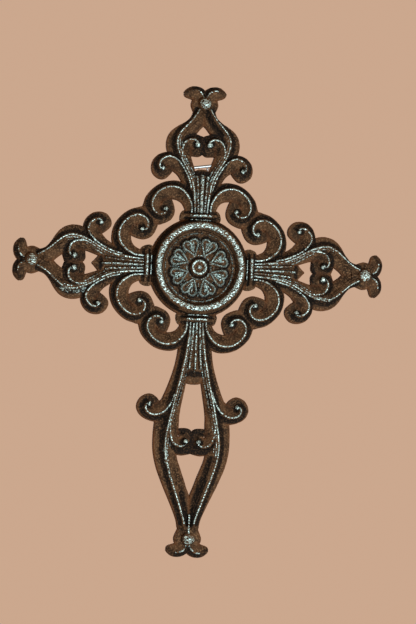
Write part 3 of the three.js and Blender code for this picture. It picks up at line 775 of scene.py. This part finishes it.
# %% Carve the flower
BOWL_RADIUS = 20.6
front = [v for v in medallion.verts if math.hypot(v.co.x, v.co.z) < BOWL_RADIUS and v.co.y < -1]
x = np.array([v.co.x for v in front])
z = np.array([v.co.z for v in front])
r = np.hypot(x, z)
angle = np.arctan2(x, z)
slot = 2 * math.pi / PETALS
half_slot = np.abs((angle % slot) - slot / 2)  # 0 on the middle of a petal
petal = np.column_stack([r * np.sin(half_slot), r * np.cos(half_slot)])
gap_angle = slot / 2 - half_slot
gap = np.column_stack([r * np.sin(gap_angle), r * np.cos(gap_angle)])

to_rim = np.min(np.linalg.norm(petal[:, None] - rim_line[None], axis=2), axis=1)
rim_across = np.interp(petal[:, 1], rim_outwards[:, 1], rim_outwards[:, 0])
inside = (petal[:, 0] < rim_across) & (petal[:, 1] > PETAL_START) & (petal[:, 1] < PETAL_END)
ribs = np.maximum(hump(stroke(petal, *MIDDLE_RIB), 0.55), 0.8 * hump(stroke(petal, *SIDE_RIB), 0.5))
gap_rib = hump(stroke(gap, *GAP_RIB), 0.5)
rise = RIM_RISE * hump(to_rim, 0.8) + np.where(inside, PETAL_LIFT + RIB_RISE * ribs, 0)
rise = np.maximum(rise, GAP_RISE * gap_rib) - bowl_floor(r)
rise += 1.2 * hump(np.abs(r - OUTER_CIRCLE), 0.6) + 0.7 * hump(np.abs(r - INNER_CIRCLE), 0.6)
rise -= 0.7 * hump(np.abs(r - BUTTON_GROOVE), 0.7)
rise = np.where(r < BUTTON_EDGE, np.interp(r, BUTTON_AT, BUTTON_RISE), rise)
for v, up in zip(front, rise):
    v.co.y -= up
print("deepest and highest carving", round(float(rise.min()), 2), round(float(rise.max()), 2))

# %% Roughen the ring and note its circles
RING_FACE, RING_SIDE = (22.1, 26.2), 9
PITS = ((0.22, 0.9), (0.12, 2.1))  # depth and noise scale, coarse and fine
for v in medallion.verts:
    radius = math.hypot(v.co.x, v.co.z)
    if RING_FACE[0] < radius < RING_FACE[1] and v.co.y < -RING_SIDE:
        v.co.y += sum(depth * noise.noise(v.co * scale) for depth, scale in PITS)
middle = [Matrix.Identity(4)]
turn = np.linspace(0, 2 * math.pi, 700, endpoint=False)
circle = np.column_stack([np.sin(turn), 0 * turn, np.cos(turn)])
WORN_CIRCLES = ((23.0, 12.2, 1.1, 0.92), (23.8, RING_TOP, 1.1, 0.92), (24.5, RING_TOP, 1.0, 0.92),
                (OUTER_CIRCLE, 6.7, 0.55, 0.9), (INNER_CIRCLE, 6.5, 0.6, 0.85), (3.8, 8.5, 0.7, 1.3))
# soot and painted shade in the button's groove, in the bowl's corner by the ring and low on the
# ring's outside
SOOT_AND_SHADE_CIRCLES = ((BUTTON_GROOVE, 5.4, 0.9, 0.95), (21.3, 6.8, 0.6, 0.7), (27.6, 6.0, 1.5, 0.8))
for notes, circles in ((rub_notes, WORN_CIRCLES), (dark_notes, SOOT_AND_SHADE_CIRCLES)):
    for radius, height, wide, strength in circles:
        note(notes, circle * radius + (0, -height, 0), wide, strength, middle)
note(rub_notes, [(0, -BOWL - BUTTON_RISE[0], 0)], 1.1, 1.4, middle)
painted_shade_side = circle[circle[:, 0] < 0.25 * (circle[:, 2] - 1)]  # painted shade on the left of the ring's outer flank, the side turned from the lamp
note(dark_notes, painted_shade_side * 26.8 + (0, -8.2, 0), 2.2, 1.0, middle)
note(rim_glow_notes, circle * 29.0 + (0, RIM_UNDER - SHOULDER, 0), RIM_RADIUS, 1.0, middle)
cast_copies("medallion", medallion, middle)

# %% Note the lines of the flower
petal_places = [Matrix.Rotation(slot * (k + 0.5), 4, "Y") for k in range(PETALS)]
gap_places = [Matrix.Rotation(slot * k, 4, "Y") for k in range(PETALS)]
petal_halves = halves(petal_places)
side_rib = np.linspace(0.3, 1, 16)
away = np.gradient(rim_line, axis=0)
away /= np.linalg.norm(away, axis=1)[:, None]
beyond_rim = rim_line + 1.25 * np.column_stack([away[:, 1], -away[:, 0]])
# across, outwards, rise above the bowl, radius, strength, places
WORN_LINES = (
    (*rim_line.T, 1.95, 0.75, 1.8, petal_halves),
    (*rim_line[26:52].T, 1.95, 0.9, 1.8, petal_halves),
    (0.0, np.linspace(10.0, 13.4, 14), 1.6, 0.7, 1.7, petal_places),
    (0.0, np.linspace(12.2, 13.8, 5), 0.9, 1.3, 1.0, petal_places),
    (0.5 + 1.3 * side_rib, 9.6 + 5.0 * side_rib, 1.4, 0.6, 1.4, petal_halves),
    (0.0, np.linspace(8.4, 16.6, 24), 0.7, 0.42, 0.5, gap_places),
)
# painted shade beyond the petal tips and in the creases between the ribs, with some soot
SOOT_AND_SHADE_LINES = (
    (*beyond_rim[14:50].T, 0.1, 0.6, 0.95, petal_halves),
    (0.0, np.linspace(15.8, 17.4, 6), 0.2, 0.6, 0.9, petal_places),
    (0.9, np.linspace(11.4, 13.6, 5), 0.6, 0.4, 0.7, petal_halves),
    (2.6, np.linspace(11.6, 13.8, 5), 0.6, 0.4, 0.7, petal_halves),
)


def on_bowl(x, out, rise):
    x, out = np.broadcast_arrays(x, out)
    return np.column_stack([x, bowl_floor(np.hypot(x, out)) - BOWL - rise, out])


for notes, lines in ((rub_notes, WORN_LINES), (dark_notes, SOOT_AND_SHADE_LINES)):
    for x, out, rise, radius, strength, places in lines:
        note(notes, on_bowl(x, out, rise), radius, strength, places)

# %% [markdown]
# ## Soot in the deep places, and worn patches
#
# The forks, the bridges between two curls, the places behind the leaf tips and some inner flanks
# turned from the lamp are painted black, for soot that the cloth never reaches and for painted
# shade. A few stretches of the outer strands were handled more and are worn broader than the crest.
# Each streak is a short line on the carving, as (across, outwards) of its start and its end, with
# its height, its radius and its strength.

# %% Streaks of soot and painted shade, and of wear
SOOT_AND_SHADE_STREAKS = [
    ([RIGHT, LEFT], (-3.4, 56.4), (3.4, 56.4), 4.9, 1.3, 0.9),
    ([TOP], (-3.6, 55.2), (3.6, 55.2), 4.7, 1.6, 1.0),
    ([TOP], (-6.0, 77.0), (6.0, 77.0), 4.4, 1.8, 0.9),
    ([TOP], (0.0, 67.0), (0.0, 77.0), 4.2, 2.3, 0.95),
    ([TOP], (10.0, 77.6), (6.0, 82.8), 5.4, 2.0, 0.85),
    ([TOP], (6.0, 82.8), (1.2, 91.0), 5.4, 2.0, 0.9),
    ([RIGHT], (-5.0, 66.2), (5.0, 66.2), 4.2, 2.0, 0.8),
    ([LEFT], (-6.0, 76.6), (6.0, 76.6), 4.4, 1.8, 0.8),
    ([LOWER], (-4.0, 61.8), (4.0, 61.8), 5.0, 1.7, 1.0),
    ([LOWER], (-7.0, 95.0), (7.0, 95.0), 4.2, 2.2, 0.75),
    ([LOWER], (-8.0, 106.2), (8.0, 106.2), 4.4, 2.0, 0.95),
    ([LOWER], (0.0, 95.0), (0.0, 107.0), 4.2, 2.8, 0.95),
    ([LOWER], (-10.6, 110.0), (-7.8, 122.0), 5.6, 1.9, 0.75),
    ([LOWER], (-7.8, 122.0), (-3.5, 134.0), 5.6, 2.2, 0.9),
    ([LOWER], (-3.5, 134.0), (-1.3, 148.0), 5.6, 2.2, 0.95),
    ([LOWER], (4.6, 131.0), (1.3, 148.0), 5.6, 2.0, 0.95),
]
WORN_STREAKS = [
    ([LOWER], (15.2, 106.0), (13.8, 115.0), 7.2, 1.0, 0.95),
    ([LOWER], (13.8, 115.0), (11.8, 121.6), 7.2, 0.8, 0.8),
    ([RIGHT], (14.6, 68.0), (15.5, 76.0), 7.2, 0.9, 0.95),
    ([LEFT], (-16.4, 66.0), (-15.6, 77.0), 6.4, 2.6, 0.62),
]
STREAK_STEPS = 20
for notes, streaks in ((dark_notes, SOOT_AND_SHADE_STREAKS), (rub_notes, WORN_STREAKS)):
    for places, start, end, height, radius, strength in streaks:
        x, out = np.linspace(start, end, STREAK_STEPS).T
        line = np.column_stack([x, np.full(STREAK_STEPS, -height), out])
        note(notes, line, radius, strength, places)
for kind, notes in (("rubbed", rub_notes), ("soot and painted shade", dark_notes), ("painted rim glow", rim_glow_notes)):
    print(kind, "lines", len(notes), "with", sum(len(points) for points, _, _ in notes), "points")

# %% [markdown]
# ## Pour the casting
#
# On the real cross there are no separate pieces: the iron ran through the whole mould. A Boolean
# union does the same to the solids. The back is ground flat with a slab, and a shallow seat is cut
# for the wire. The modifiers are applied by taking the evaluated mesh.

# %% Tools for the cuts
def block(name, build):
    bm = bmesh.new()
    build(bm)
    mesh = bpy.data.meshes.new(name)
    bm.to_mesh(mesh)
    bm.free()
    made = bpy.data.objects.new(name, mesh)
    scene.collection.objects.link(made)
    return made


def rod(bm, radius, length, sides):
    bmesh.ops.create_cone(bm, cap_ends=True, segments=sides, radius1=radius, radius2=radius,
                          depth=length)
    slope = Matrix.Rotation(-WIRE_TILT, 4, "Y") @ Matrix.Rotation(math.pi / 2, 4, "Y")
    at_wire = Matrix.Translation((0, -WIRE_DEPTH, MEDALLION_DROP))
    bmesh.ops.transform(bm, matrix=at_wire @ slope, verts=bm.verts[:])


SLAB_CELLS, SLAB_SIZE, SLAB_MIDDLE = (48, 60), (240, 304), (0.6, 0, -31)


def slab(bm):
    bmesh.ops.create_grid(bm, x_segments=SLAB_CELLS[0], y_segments=SLAB_CELLS[1], size=0.5)
    bmesh.ops.scale(bm, vec=(*SLAB_SIZE, 1), verts=bm.verts[:])
    bmesh.ops.rotate(bm, cent=(0, 0, 0), matrix=FRONTWARDS, verts=bm.verts[:])
    bmesh.ops.translate(bm, vec=SLAB_MIDDLE, verts=bm.verts[:])
    thick = bmesh.ops.extrude_face_region(bm, geom=bm.faces[:])["geom"]
    back_verts = [v for v in thick if isinstance(v, bmesh.types.BMVert)]
    bmesh.ops.translate(bm, vec=(0, 2 * STOCK, 0), verts=back_verts)
    bmesh.ops.recalc_face_normals(bm, faces=bm.faces[:])


# %% Join, grind and seat the wire
base = workshop.objects["medallion_0"]
workshop.objects.unlink(base)
scene.collection.objects.link(base)
grindstone = block("grindstone", slab)
seat = block("seat", lambda bm: rod(bm, WIRE_RADIUS + FIT_GAP, WIRE_LENGTH + 2 * FIT_GAP, 24))

pour = base.modifiers.new("pour", "BOOLEAN")
pour.operation, pour.solver, pour.operand_type = "UNION", "MANIFOLD", "COLLECTION"
pour.collection = workshop
for tool in (grindstone, seat):
    cut = base.modifiers.new(tool.name, "BOOLEAN")
    cut.operation, cut.solver, cut.object = "DIFFERENCE", "MANIFOLD", tool
bpy.context.view_layer.update()
poured = bpy.data.meshes.new_from_object(base.evaluated_get(bpy.context.evaluated_depsgraph_get()))
poured.name = "carved_casting"
print("poured casting", len(poured.vertices), "vertices", len(poured.polygons), "faces")
for used in [base, grindstone, seat, *workshop.objects]:
    bpy.data.objects.remove(used)
bpy.data.collections.remove(workshop)

# %% [markdown]
# ## The skin of the casting
#
# Faces are shaded smooth, and edges stay sharp where the metal turns by more than the crease angle.
# Sand roughens the front and leaves the ground back flat. Then every point takes its marks from the
# nearest notes. A KD-tree finds them fast: comparing each point with each note would take hours.

# %% Smooth shading
CREASE = math.radians(48)


def shade_smooth(bm):
    for f in bm.faces:
        f.smooth = True
    for e in bm.edges:
        e.smooth = e.calc_face_angle(0.0) < CREASE


bm = bmesh.new()
bm.from_mesh(poured)
print("open or doubled edges", sum(not e.is_manifold for e in bm.edges))
print("triangles", sum(len(f.verts) - 2 for f in bm.faces))
shade_smooth(bm)
bm.to_mesh(poured)
bm.free()

# %% Nearest notes
NEIGHBOURS = 3
FADE_END, FADE_LENGTH = 1.35, 0.7  # in radii of the note


def nearest_marks(notes, points):
    total = sum(len(p) for p, _, _ in notes)
    tree = KDTree(total)
    wide, strong = np.zeros(total), np.zeros(total)
    at = 0
    for p, radius, strength in notes:
        for q in p:
            tree.insert(q, at)
            wide[at], strong[at] = radius, strength
            at += 1
    tree.balance()
    values = np.zeros(len(points))
    for i, p in enumerate(points):
        best = 0.0
        for _, k, distance in tree.find_n(p, NEIGHBOURS):
            fade = min(1.0, max(0.0, (wide[k] * FADE_END - distance) / (wide[k] * FADE_LENGTH)))
            best = max(best, strong[k] * fade)
        values[i] = best
    return values


# %% Roughen the casting and look up its rubbed and dark places
ROUGHNESS, ROUGHNESS_SCALE, SAND_SEED = 0.16, 0.7, 7
noise.seed_set(SAND_SEED)  # without it the vector noise would be shifted by the clock
LEFT_LESS = 0.16  # the rubbed marks are weaker towards the left, by this share at the left arm's end
GROUND_DEPTH = 0.3
points = np.zeros(3 * len(poured.vertices))
poured.vertices.foreach_get("co", points)
points = points.reshape(-1, 3)
box_low, box_high = (np.array(corner) / MM + (0, 0, MEDALLION_DROP)
                     for corner in (measured_low, measured_high))
rough = np.array([noise.noise_vector(Vector(p) * ROUGHNESS_SCALE) for p in points])
rough *= ROUGHNESS * np.clip(-points[:, 1:2] / SHOULDER, 0, 1)
points = np.clip(points + rough, box_low, box_high)
poured.vertices.foreach_set("co", points.ravel())
marks = {name: nearest_marks(notes, points)
         for name, notes in (("rubbed", rub_notes), ("dark", dark_notes), ("rim", rim_glow_notes))}
marks["rubbed"] *= 1 + LEFT_LESS * np.clip(points[:, 0] / 100, -1, 0)
marks["ground"] = np.clip(1 + points[:, 1] / GROUND_DEPTH, 0, 1)
for name, values in marks.items():
    layer = poured.attributes.new(name, "FLOAT", "POINT")
    layer.data.foreach_set("value", values)
    print(name, "mean", round(float(values.mean()), 3))
poured.transform(to_metres)
casting = bpy.data.objects.new("carved_casting", poured)
scene.collection.objects.link(casting)

# %% [markdown]
# ## The hanging wire
#
# A short length of bright drawn steel is cast in across the back of the top arm. It is a plain
# cylinder, laid at its slope. Its cut end, bent down beside it, is a ball drawn long.

# %% Wire
TAIL_RADIUS, TAIL_STRETCH, TAIL_ACROSS, TAIL_DROP = 0.6, 1.8, 3.2, 1.2


def wire_shape(bm):
    rod(bm, WIRE_RADIUS, WIRE_LENGTH, 32)
    shade_smooth(bm)


def tail_shape(bm):
    bmesh.ops.create_uvsphere(bm, u_segments=20, v_segments=12, radius=TAIL_RADIUS)
    bmesh.ops.scale(bm, vec=(1, 1, TAIL_STRETCH), verts=bm.verts[:])
    at_tail = (TAIL_ACROSS, -WIRE_DEPTH, MEDALLION_DROP - TAIL_DROP)
    bmesh.ops.translate(bm, vec=at_tail, verts=bm.verts[:])
    shade_smooth(bm)


wire = block("bright_wire", wire_shape)
tail = block("wire_tail", tail_shape)
for piece in (wire, tail):
    piece.data.transform(to_metres)
    print(piece.name, len(piece.data.polygons), "faces")

# %% [markdown]
# ## Finishes
#
# The brown is a thin paint over rough cast iron: it is never one colour, so a slow noise and a fine
# one mix three browns. The noted hollows and flanks go nearly black, for soot and painted shade, and
# the rounded rim of each strand gets a painted warm glow of bounced light. The rubbed places are
# bare pale metal. Their mask is broken up with a grainy noise, because the cloth only reaches the
# tops of the sand grains. The ground back shows grey scratches. All patterns read Object
# coordinates, so they stay on the iron from every side.

# %% Material helpers
def new_material(name, color):
    material = bpy.data.materials.new(name)
    material.use_nodes = True
    material.diffuse_color = (*color, 1)
    tree = material.node_tree
    place = tree.nodes.new("ShaderNodeTexCoord").outputs["Object"]
    return material, tree, place, tree.nodes["Principled BSDF"]


def attribute_node(tree, name):
    n = tree.nodes.new("ShaderNodeAttribute")
    n.attribute_name = name
    return n.outputs["Fac"]


def drawn_out(tree, coordinates, degrees, squash):
    n = tree.nodes.new("ShaderNodeMapping")
    n.inputs["Rotation"].default_value = (0, math.radians(degrees), 0)
    n.inputs["Scale"].default_value = (1.0, 1.0, squash)
    tree.links.new(coordinates, n.inputs["Vector"])
    return n.outputs["Vector"]


def noise_node(tree, coordinates, scale, detail=3.0, rough=0.55):
    n = tree.nodes.new("ShaderNodeTexNoise")
    n.inputs["Scale"].default_value = scale
    n.inputs["Detail"].default_value = detail
    n.inputs["Roughness"].default_value = rough
    tree.links.new(coordinates, n.inputs["Vector"])
    return n.outputs["Fac"]


def span(tree, value, low, high, to_low=0.0, to_high=1.0):
    n = tree.nodes.new("ShaderNodeMapRange")
    n.interpolation_type = "SMOOTHSTEP"
    n.inputs["From Min"].default_value = low
    n.inputs["From Max"].default_value = high
    n.inputs["To Min"].default_value = to_low
    n.inputs["To Max"].default_value = to_high
    tree.links.new(value, n.inputs["Value"])
    return n.outputs["Result"]


def math_node(tree, operation, a, b):
    n = tree.nodes.new("ShaderNodeMath")
    n.operation = operation
    n.use_clamp = operation in ("MULTIPLY", "SUBTRACT")
    for socket, value in zip(n.inputs, (a, b)):
        if isinstance(value, (int, float)):
            socket.default_value = value
        else:
            tree.links.new(value, socket)
    return n.outputs["Value"]


def mix_color(tree, factor, a, b):
    n = tree.nodes.new("ShaderNodeMix")
    n.data_type = "RGBA"
    tree.links.new(factor, n.inputs["Factor"])
    for socket, value in ((n.inputs["A"], a), (n.inputs["B"], b)):
        if isinstance(value, tuple):
            socket.default_value = (*value, 1)
        else:
            tree.links.new(value, socket)
    return n.outputs["Result"]


# %% Rusted cast iron
BROWN = (0.06, 0.035, 0.018)
LIGHT_BROWN = (0.15, 0.094, 0.05)
DEEP_BROWN = (0.016, 0.0095, 0.0052)
# a painted glow of warm light bounced onto the rims
PAINTED_RIM_GLOW = (0.105, 0.046, 0.019)
# near black, for soot and for painted shade
SOOT_AND_SHADE_BLACK = (0.0035, 0.003, 0.0026)
PALE_METAL = (0.52, 0.75, 0.76)
DULL_METAL = (0.085, 0.125, 0.123)
GROUND_IRON = (0.15, 0.14, 0.13)
GRAIN_DEPTH = 0.0003  # metres
iron, tree, place, shader = new_material("rusted_cast_iron", BROWN)
patches = noise_node(tree, place, 130, 4)
grain = noise_node(tree, place, 1000, 3, 0.65)
specks = noise_node(tree, drawn_out(tree, place, -40, 1.7), 820, 1.5, 0.5)
sparkle = noise_node(tree, place, 1500, 1.5, 0.5)
stretches = noise_node(tree, place, 120, 1)
brown = mix_color(tree, span(tree, patches, 0.35, 0.65), DEEP_BROWN, BROWN)
brown = mix_color(tree, span(tree, grain, 0.46, 0.68), brown, LIGHT_BROWN)
# the rims get a painted warm glow of bounced light
rim_glow = math_node(tree, "MULTIPLY", attribute_node(tree, "rim"),
                 span(tree, patches, 0.3, 0.6, 0.35, 0.9))
brown = mix_color(tree, rim_glow, brown, PAINTED_RIM_GLOW)
# the noted hollows and shaded flanks go black: soot with painted shade
soot_and_shade = math_node(tree, "MULTIPLY", span(tree, attribute_node(tree, "dark"), 0.05, 0.75),
                 span(tree, grain, 0.44, 0.68, 1.0, 0.68))
brown = mix_color(tree, soot_and_shade, brown, SOOT_AND_SHADE_BLACK)
scratches = noise_node(tree, drawn_out(tree, place, 12, 0.06), 1100, 3, 0.6)
shine = math_node(tree, "MULTIPLY", span(tree, attribute_node(tree, "ground"), 0.9, 1.0),
                  span(tree, math_node(tree, "ADD", scratches, patches), 0.86, 1.22, 0.0, 0.8))
brown = mix_color(tree, shine, brown, GROUND_IRON)

# %% Bare metal on the rubbed lines
broken = math_node(tree, "ADD", span(tree, specks, 0.42, 0.6, 0.0, 1.0),
                   span(tree, stretches, 0.42, 0.64, 0.0, 0.4))
reach = math_node(tree, "SUBTRACT", attribute_node(tree, "rubbed"), broken)
bare = span(tree, reach, 0.03, 0.3)
metal = mix_color(tree, span(tree, sparkle, 0.4, 0.58), DULL_METAL, PALE_METAL)
tree.links.new(mix_color(tree, bare, brown, metal), shader.inputs["Base Color"])
tree.links.new(span(tree, bare, 0, 1, 0.0, 0.6), shader.inputs["Metallic"])
rough = span(tree, grain, 0.3, 0.7, 0.7, 0.95)
polish = math_node(tree, "MULTIPLY", bare, 0.4)
tree.links.new(math_node(tree, "SUBTRACT", rough, polish), shader.inputs["Roughness"])
shader.inputs["Specular IOR Level"].default_value = 0.12
bump = tree.nodes.new("ShaderNodeBump")
bump.inputs["Strength"].default_value = 0.9
bump.inputs["Distance"].default_value = GRAIN_DEPTH
tree.links.new(math_node(tree, "ADD", grain, specks), bump.inputs["Height"])
tree.links.new(bump.outputs["Normal"], shader.inputs["Normal"])

print("nodes of the iron", len(tree.nodes))

# %% Bright steel wire
STEEL, DULL_STEEL, PALE_STEEL = (0.78, 0.8, 0.8), (0.3, 0.36, 0.39), (0.48, 0.55, 0.58)
steel, tree, place, shader = new_material("bright_steel_wire", STEEL)
drawn = noise_node(tree, place, 1400, 2)
tree.links.new(mix_color(tree, drawn, DULL_STEEL, PALE_STEEL), shader.inputs["Base Color"])
tree.links.new(span(tree, drawn, 0.3, 0.7, 0.4, 0.55), shader.inputs["Roughness"])
shader.inputs["Metallic"].default_value = 1.0

# %% Hand the pieces over
casting.data.materials.clear()
casting.data.materials.append(iron)
for piece in (wire, tail):
    piece.data.materials.append(steel)
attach(casting, "root")
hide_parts("cross_casting")
for piece in (wire, tail):
    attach(piece, "root")
    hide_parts("hanger_wire")

# %% [markdown]
# ## Floor, light and camera
#
# The cross hangs free, so that its ground back can be seen too. The background is a plain warm pale
# world over a plain pale floor, far enough below to keep out of the way. A soft lamp low on the
# right gives the carving its light and shade, and weaker ones fill the rest. The camera stands a
# little to the left of the cross and a little below it.

# %% Floor
FLOOR_SIZE, FLOOR_MIDDLE = (18, 18, 0.02), (0, 0, -1.31)
PLASTER, DULL_PLASTER = (0.78, 0.74, 0.69), (0.72, 0.68, 0.63)


def lay_floor(bm):
    bmesh.ops.create_cube(bm, size=1.0)
    bmesh.ops.scale(bm, vec=FLOOR_SIZE, verts=bm.verts[:])
    bmesh.ops.translate(bm, vec=FLOOR_MIDDLE, verts=bm.verts[:])


floor_slab = block("floor", lay_floor)
plaster, tree, place, shader = new_material("pale_plaster", PLASTER)
tone = noise_node(tree, place, 6, 4)
tree.links.new(mix_color(tree, tone, PLASTER, DULL_PLASTER), shader.inputs["Base Color"])
shader.inputs["Roughness"].default_value = 0.85
floor_slab.data.materials.append(plaster)
floor_slab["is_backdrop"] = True

# %% Camera
MEDALLION = Vector((0, 0, -MEDALLION_DROP * MM))
azimuth, elevation, roll = math.radians(-8.5), math.radians(-3.5), math.radians(2.3)
DISTANCE, FIELD = 4.0, 0.3607  # metres away, and metres that the picture's height covers there
FRAME_SHIFT = (0.0061, -0.0254)  # middle of the picture, right of and above the medallion's middle
back = Vector((math.sin(azimuth) * math.cos(elevation), -math.cos(azimuth) * math.cos(elevation),
               math.sin(elevation)))
turn = (-back).to_track_quat("-Z", "Y").to_matrix() @ Matrix.Rotation(roll, 3, "Z")
aim = MEDALLION + turn @ Vector((*FRAME_SHIFT, 0))
camera_data = bpy.data.cameras.new("camera")
camera_data.lens = camera_data.sensor_width * DISTANCE / FIELD
camera_data.clip_start, camera_data.clip_end = 0.05, 20
camera = bpy.data.objects.new("camera", camera_data)
camera.matrix_world = Matrix.Translation(aim + back * DISTANCE) @ turn.to_4x4()
scene.collection.objects.link(camera)
scene.camera = camera
print("camera lens in mm", round(camera_data.lens, 1))

# %% Lights
def soft_lamp(name, spot, size, watts, color):
    data = bpy.data.lights.new(name, "AREA")
    data.shape, data.size, data.size_y = "RECTANGLE", size, size
    data.energy, data.color = watts, color
    lamp = bpy.data.objects.new(name, data)
    aim_at = (MEDALLION - Vector(spot)).to_track_quat("-Z", "Y")
    lamp.matrix_world = Matrix.Translation(spot) @ aim_at.to_matrix().to_4x4()
    scene.collection.objects.link(lamp)


soft_lamp("low_right_lamp", (0.36, -1.5, -0.6), 0.22, 26, (0.97, 0.99, 1.0))
soft_lamp("window_left", (-1.2, -1.6, 0.9), 1.2, 1.5, (0.94, 0.97, 1.0))
soft_lamp("lamp_behind", (-0.1, 1.9, 0.2), 0.5, 12, (1.0, 0.99, 0.97))
world = bpy.data.worlds.new("pale_room")
scene.world = world
world.use_nodes = True
background = world.node_tree.nodes["Background"]
background.inputs["Color"].default_value = (0.8, 0.52, 0.36, 1)
background.inputs["Strength"].default_value = 0.75
scene.view_settings.view_transform = "Standard"

# %% [markdown]
# ## Last measure
#
# The carved model has to fill the same box as the measured one. How far each side of its box lies
# from the measured box is printed.

# %% Measure
low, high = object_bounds()
print("grown in mm, low side", [round(1000 * (b - a), 2) for a, b in zip(measured_low, low)])
print("grown in mm, high side", [round(1000 * (b - a), 2) for a, b in zip(measured_high, high)])
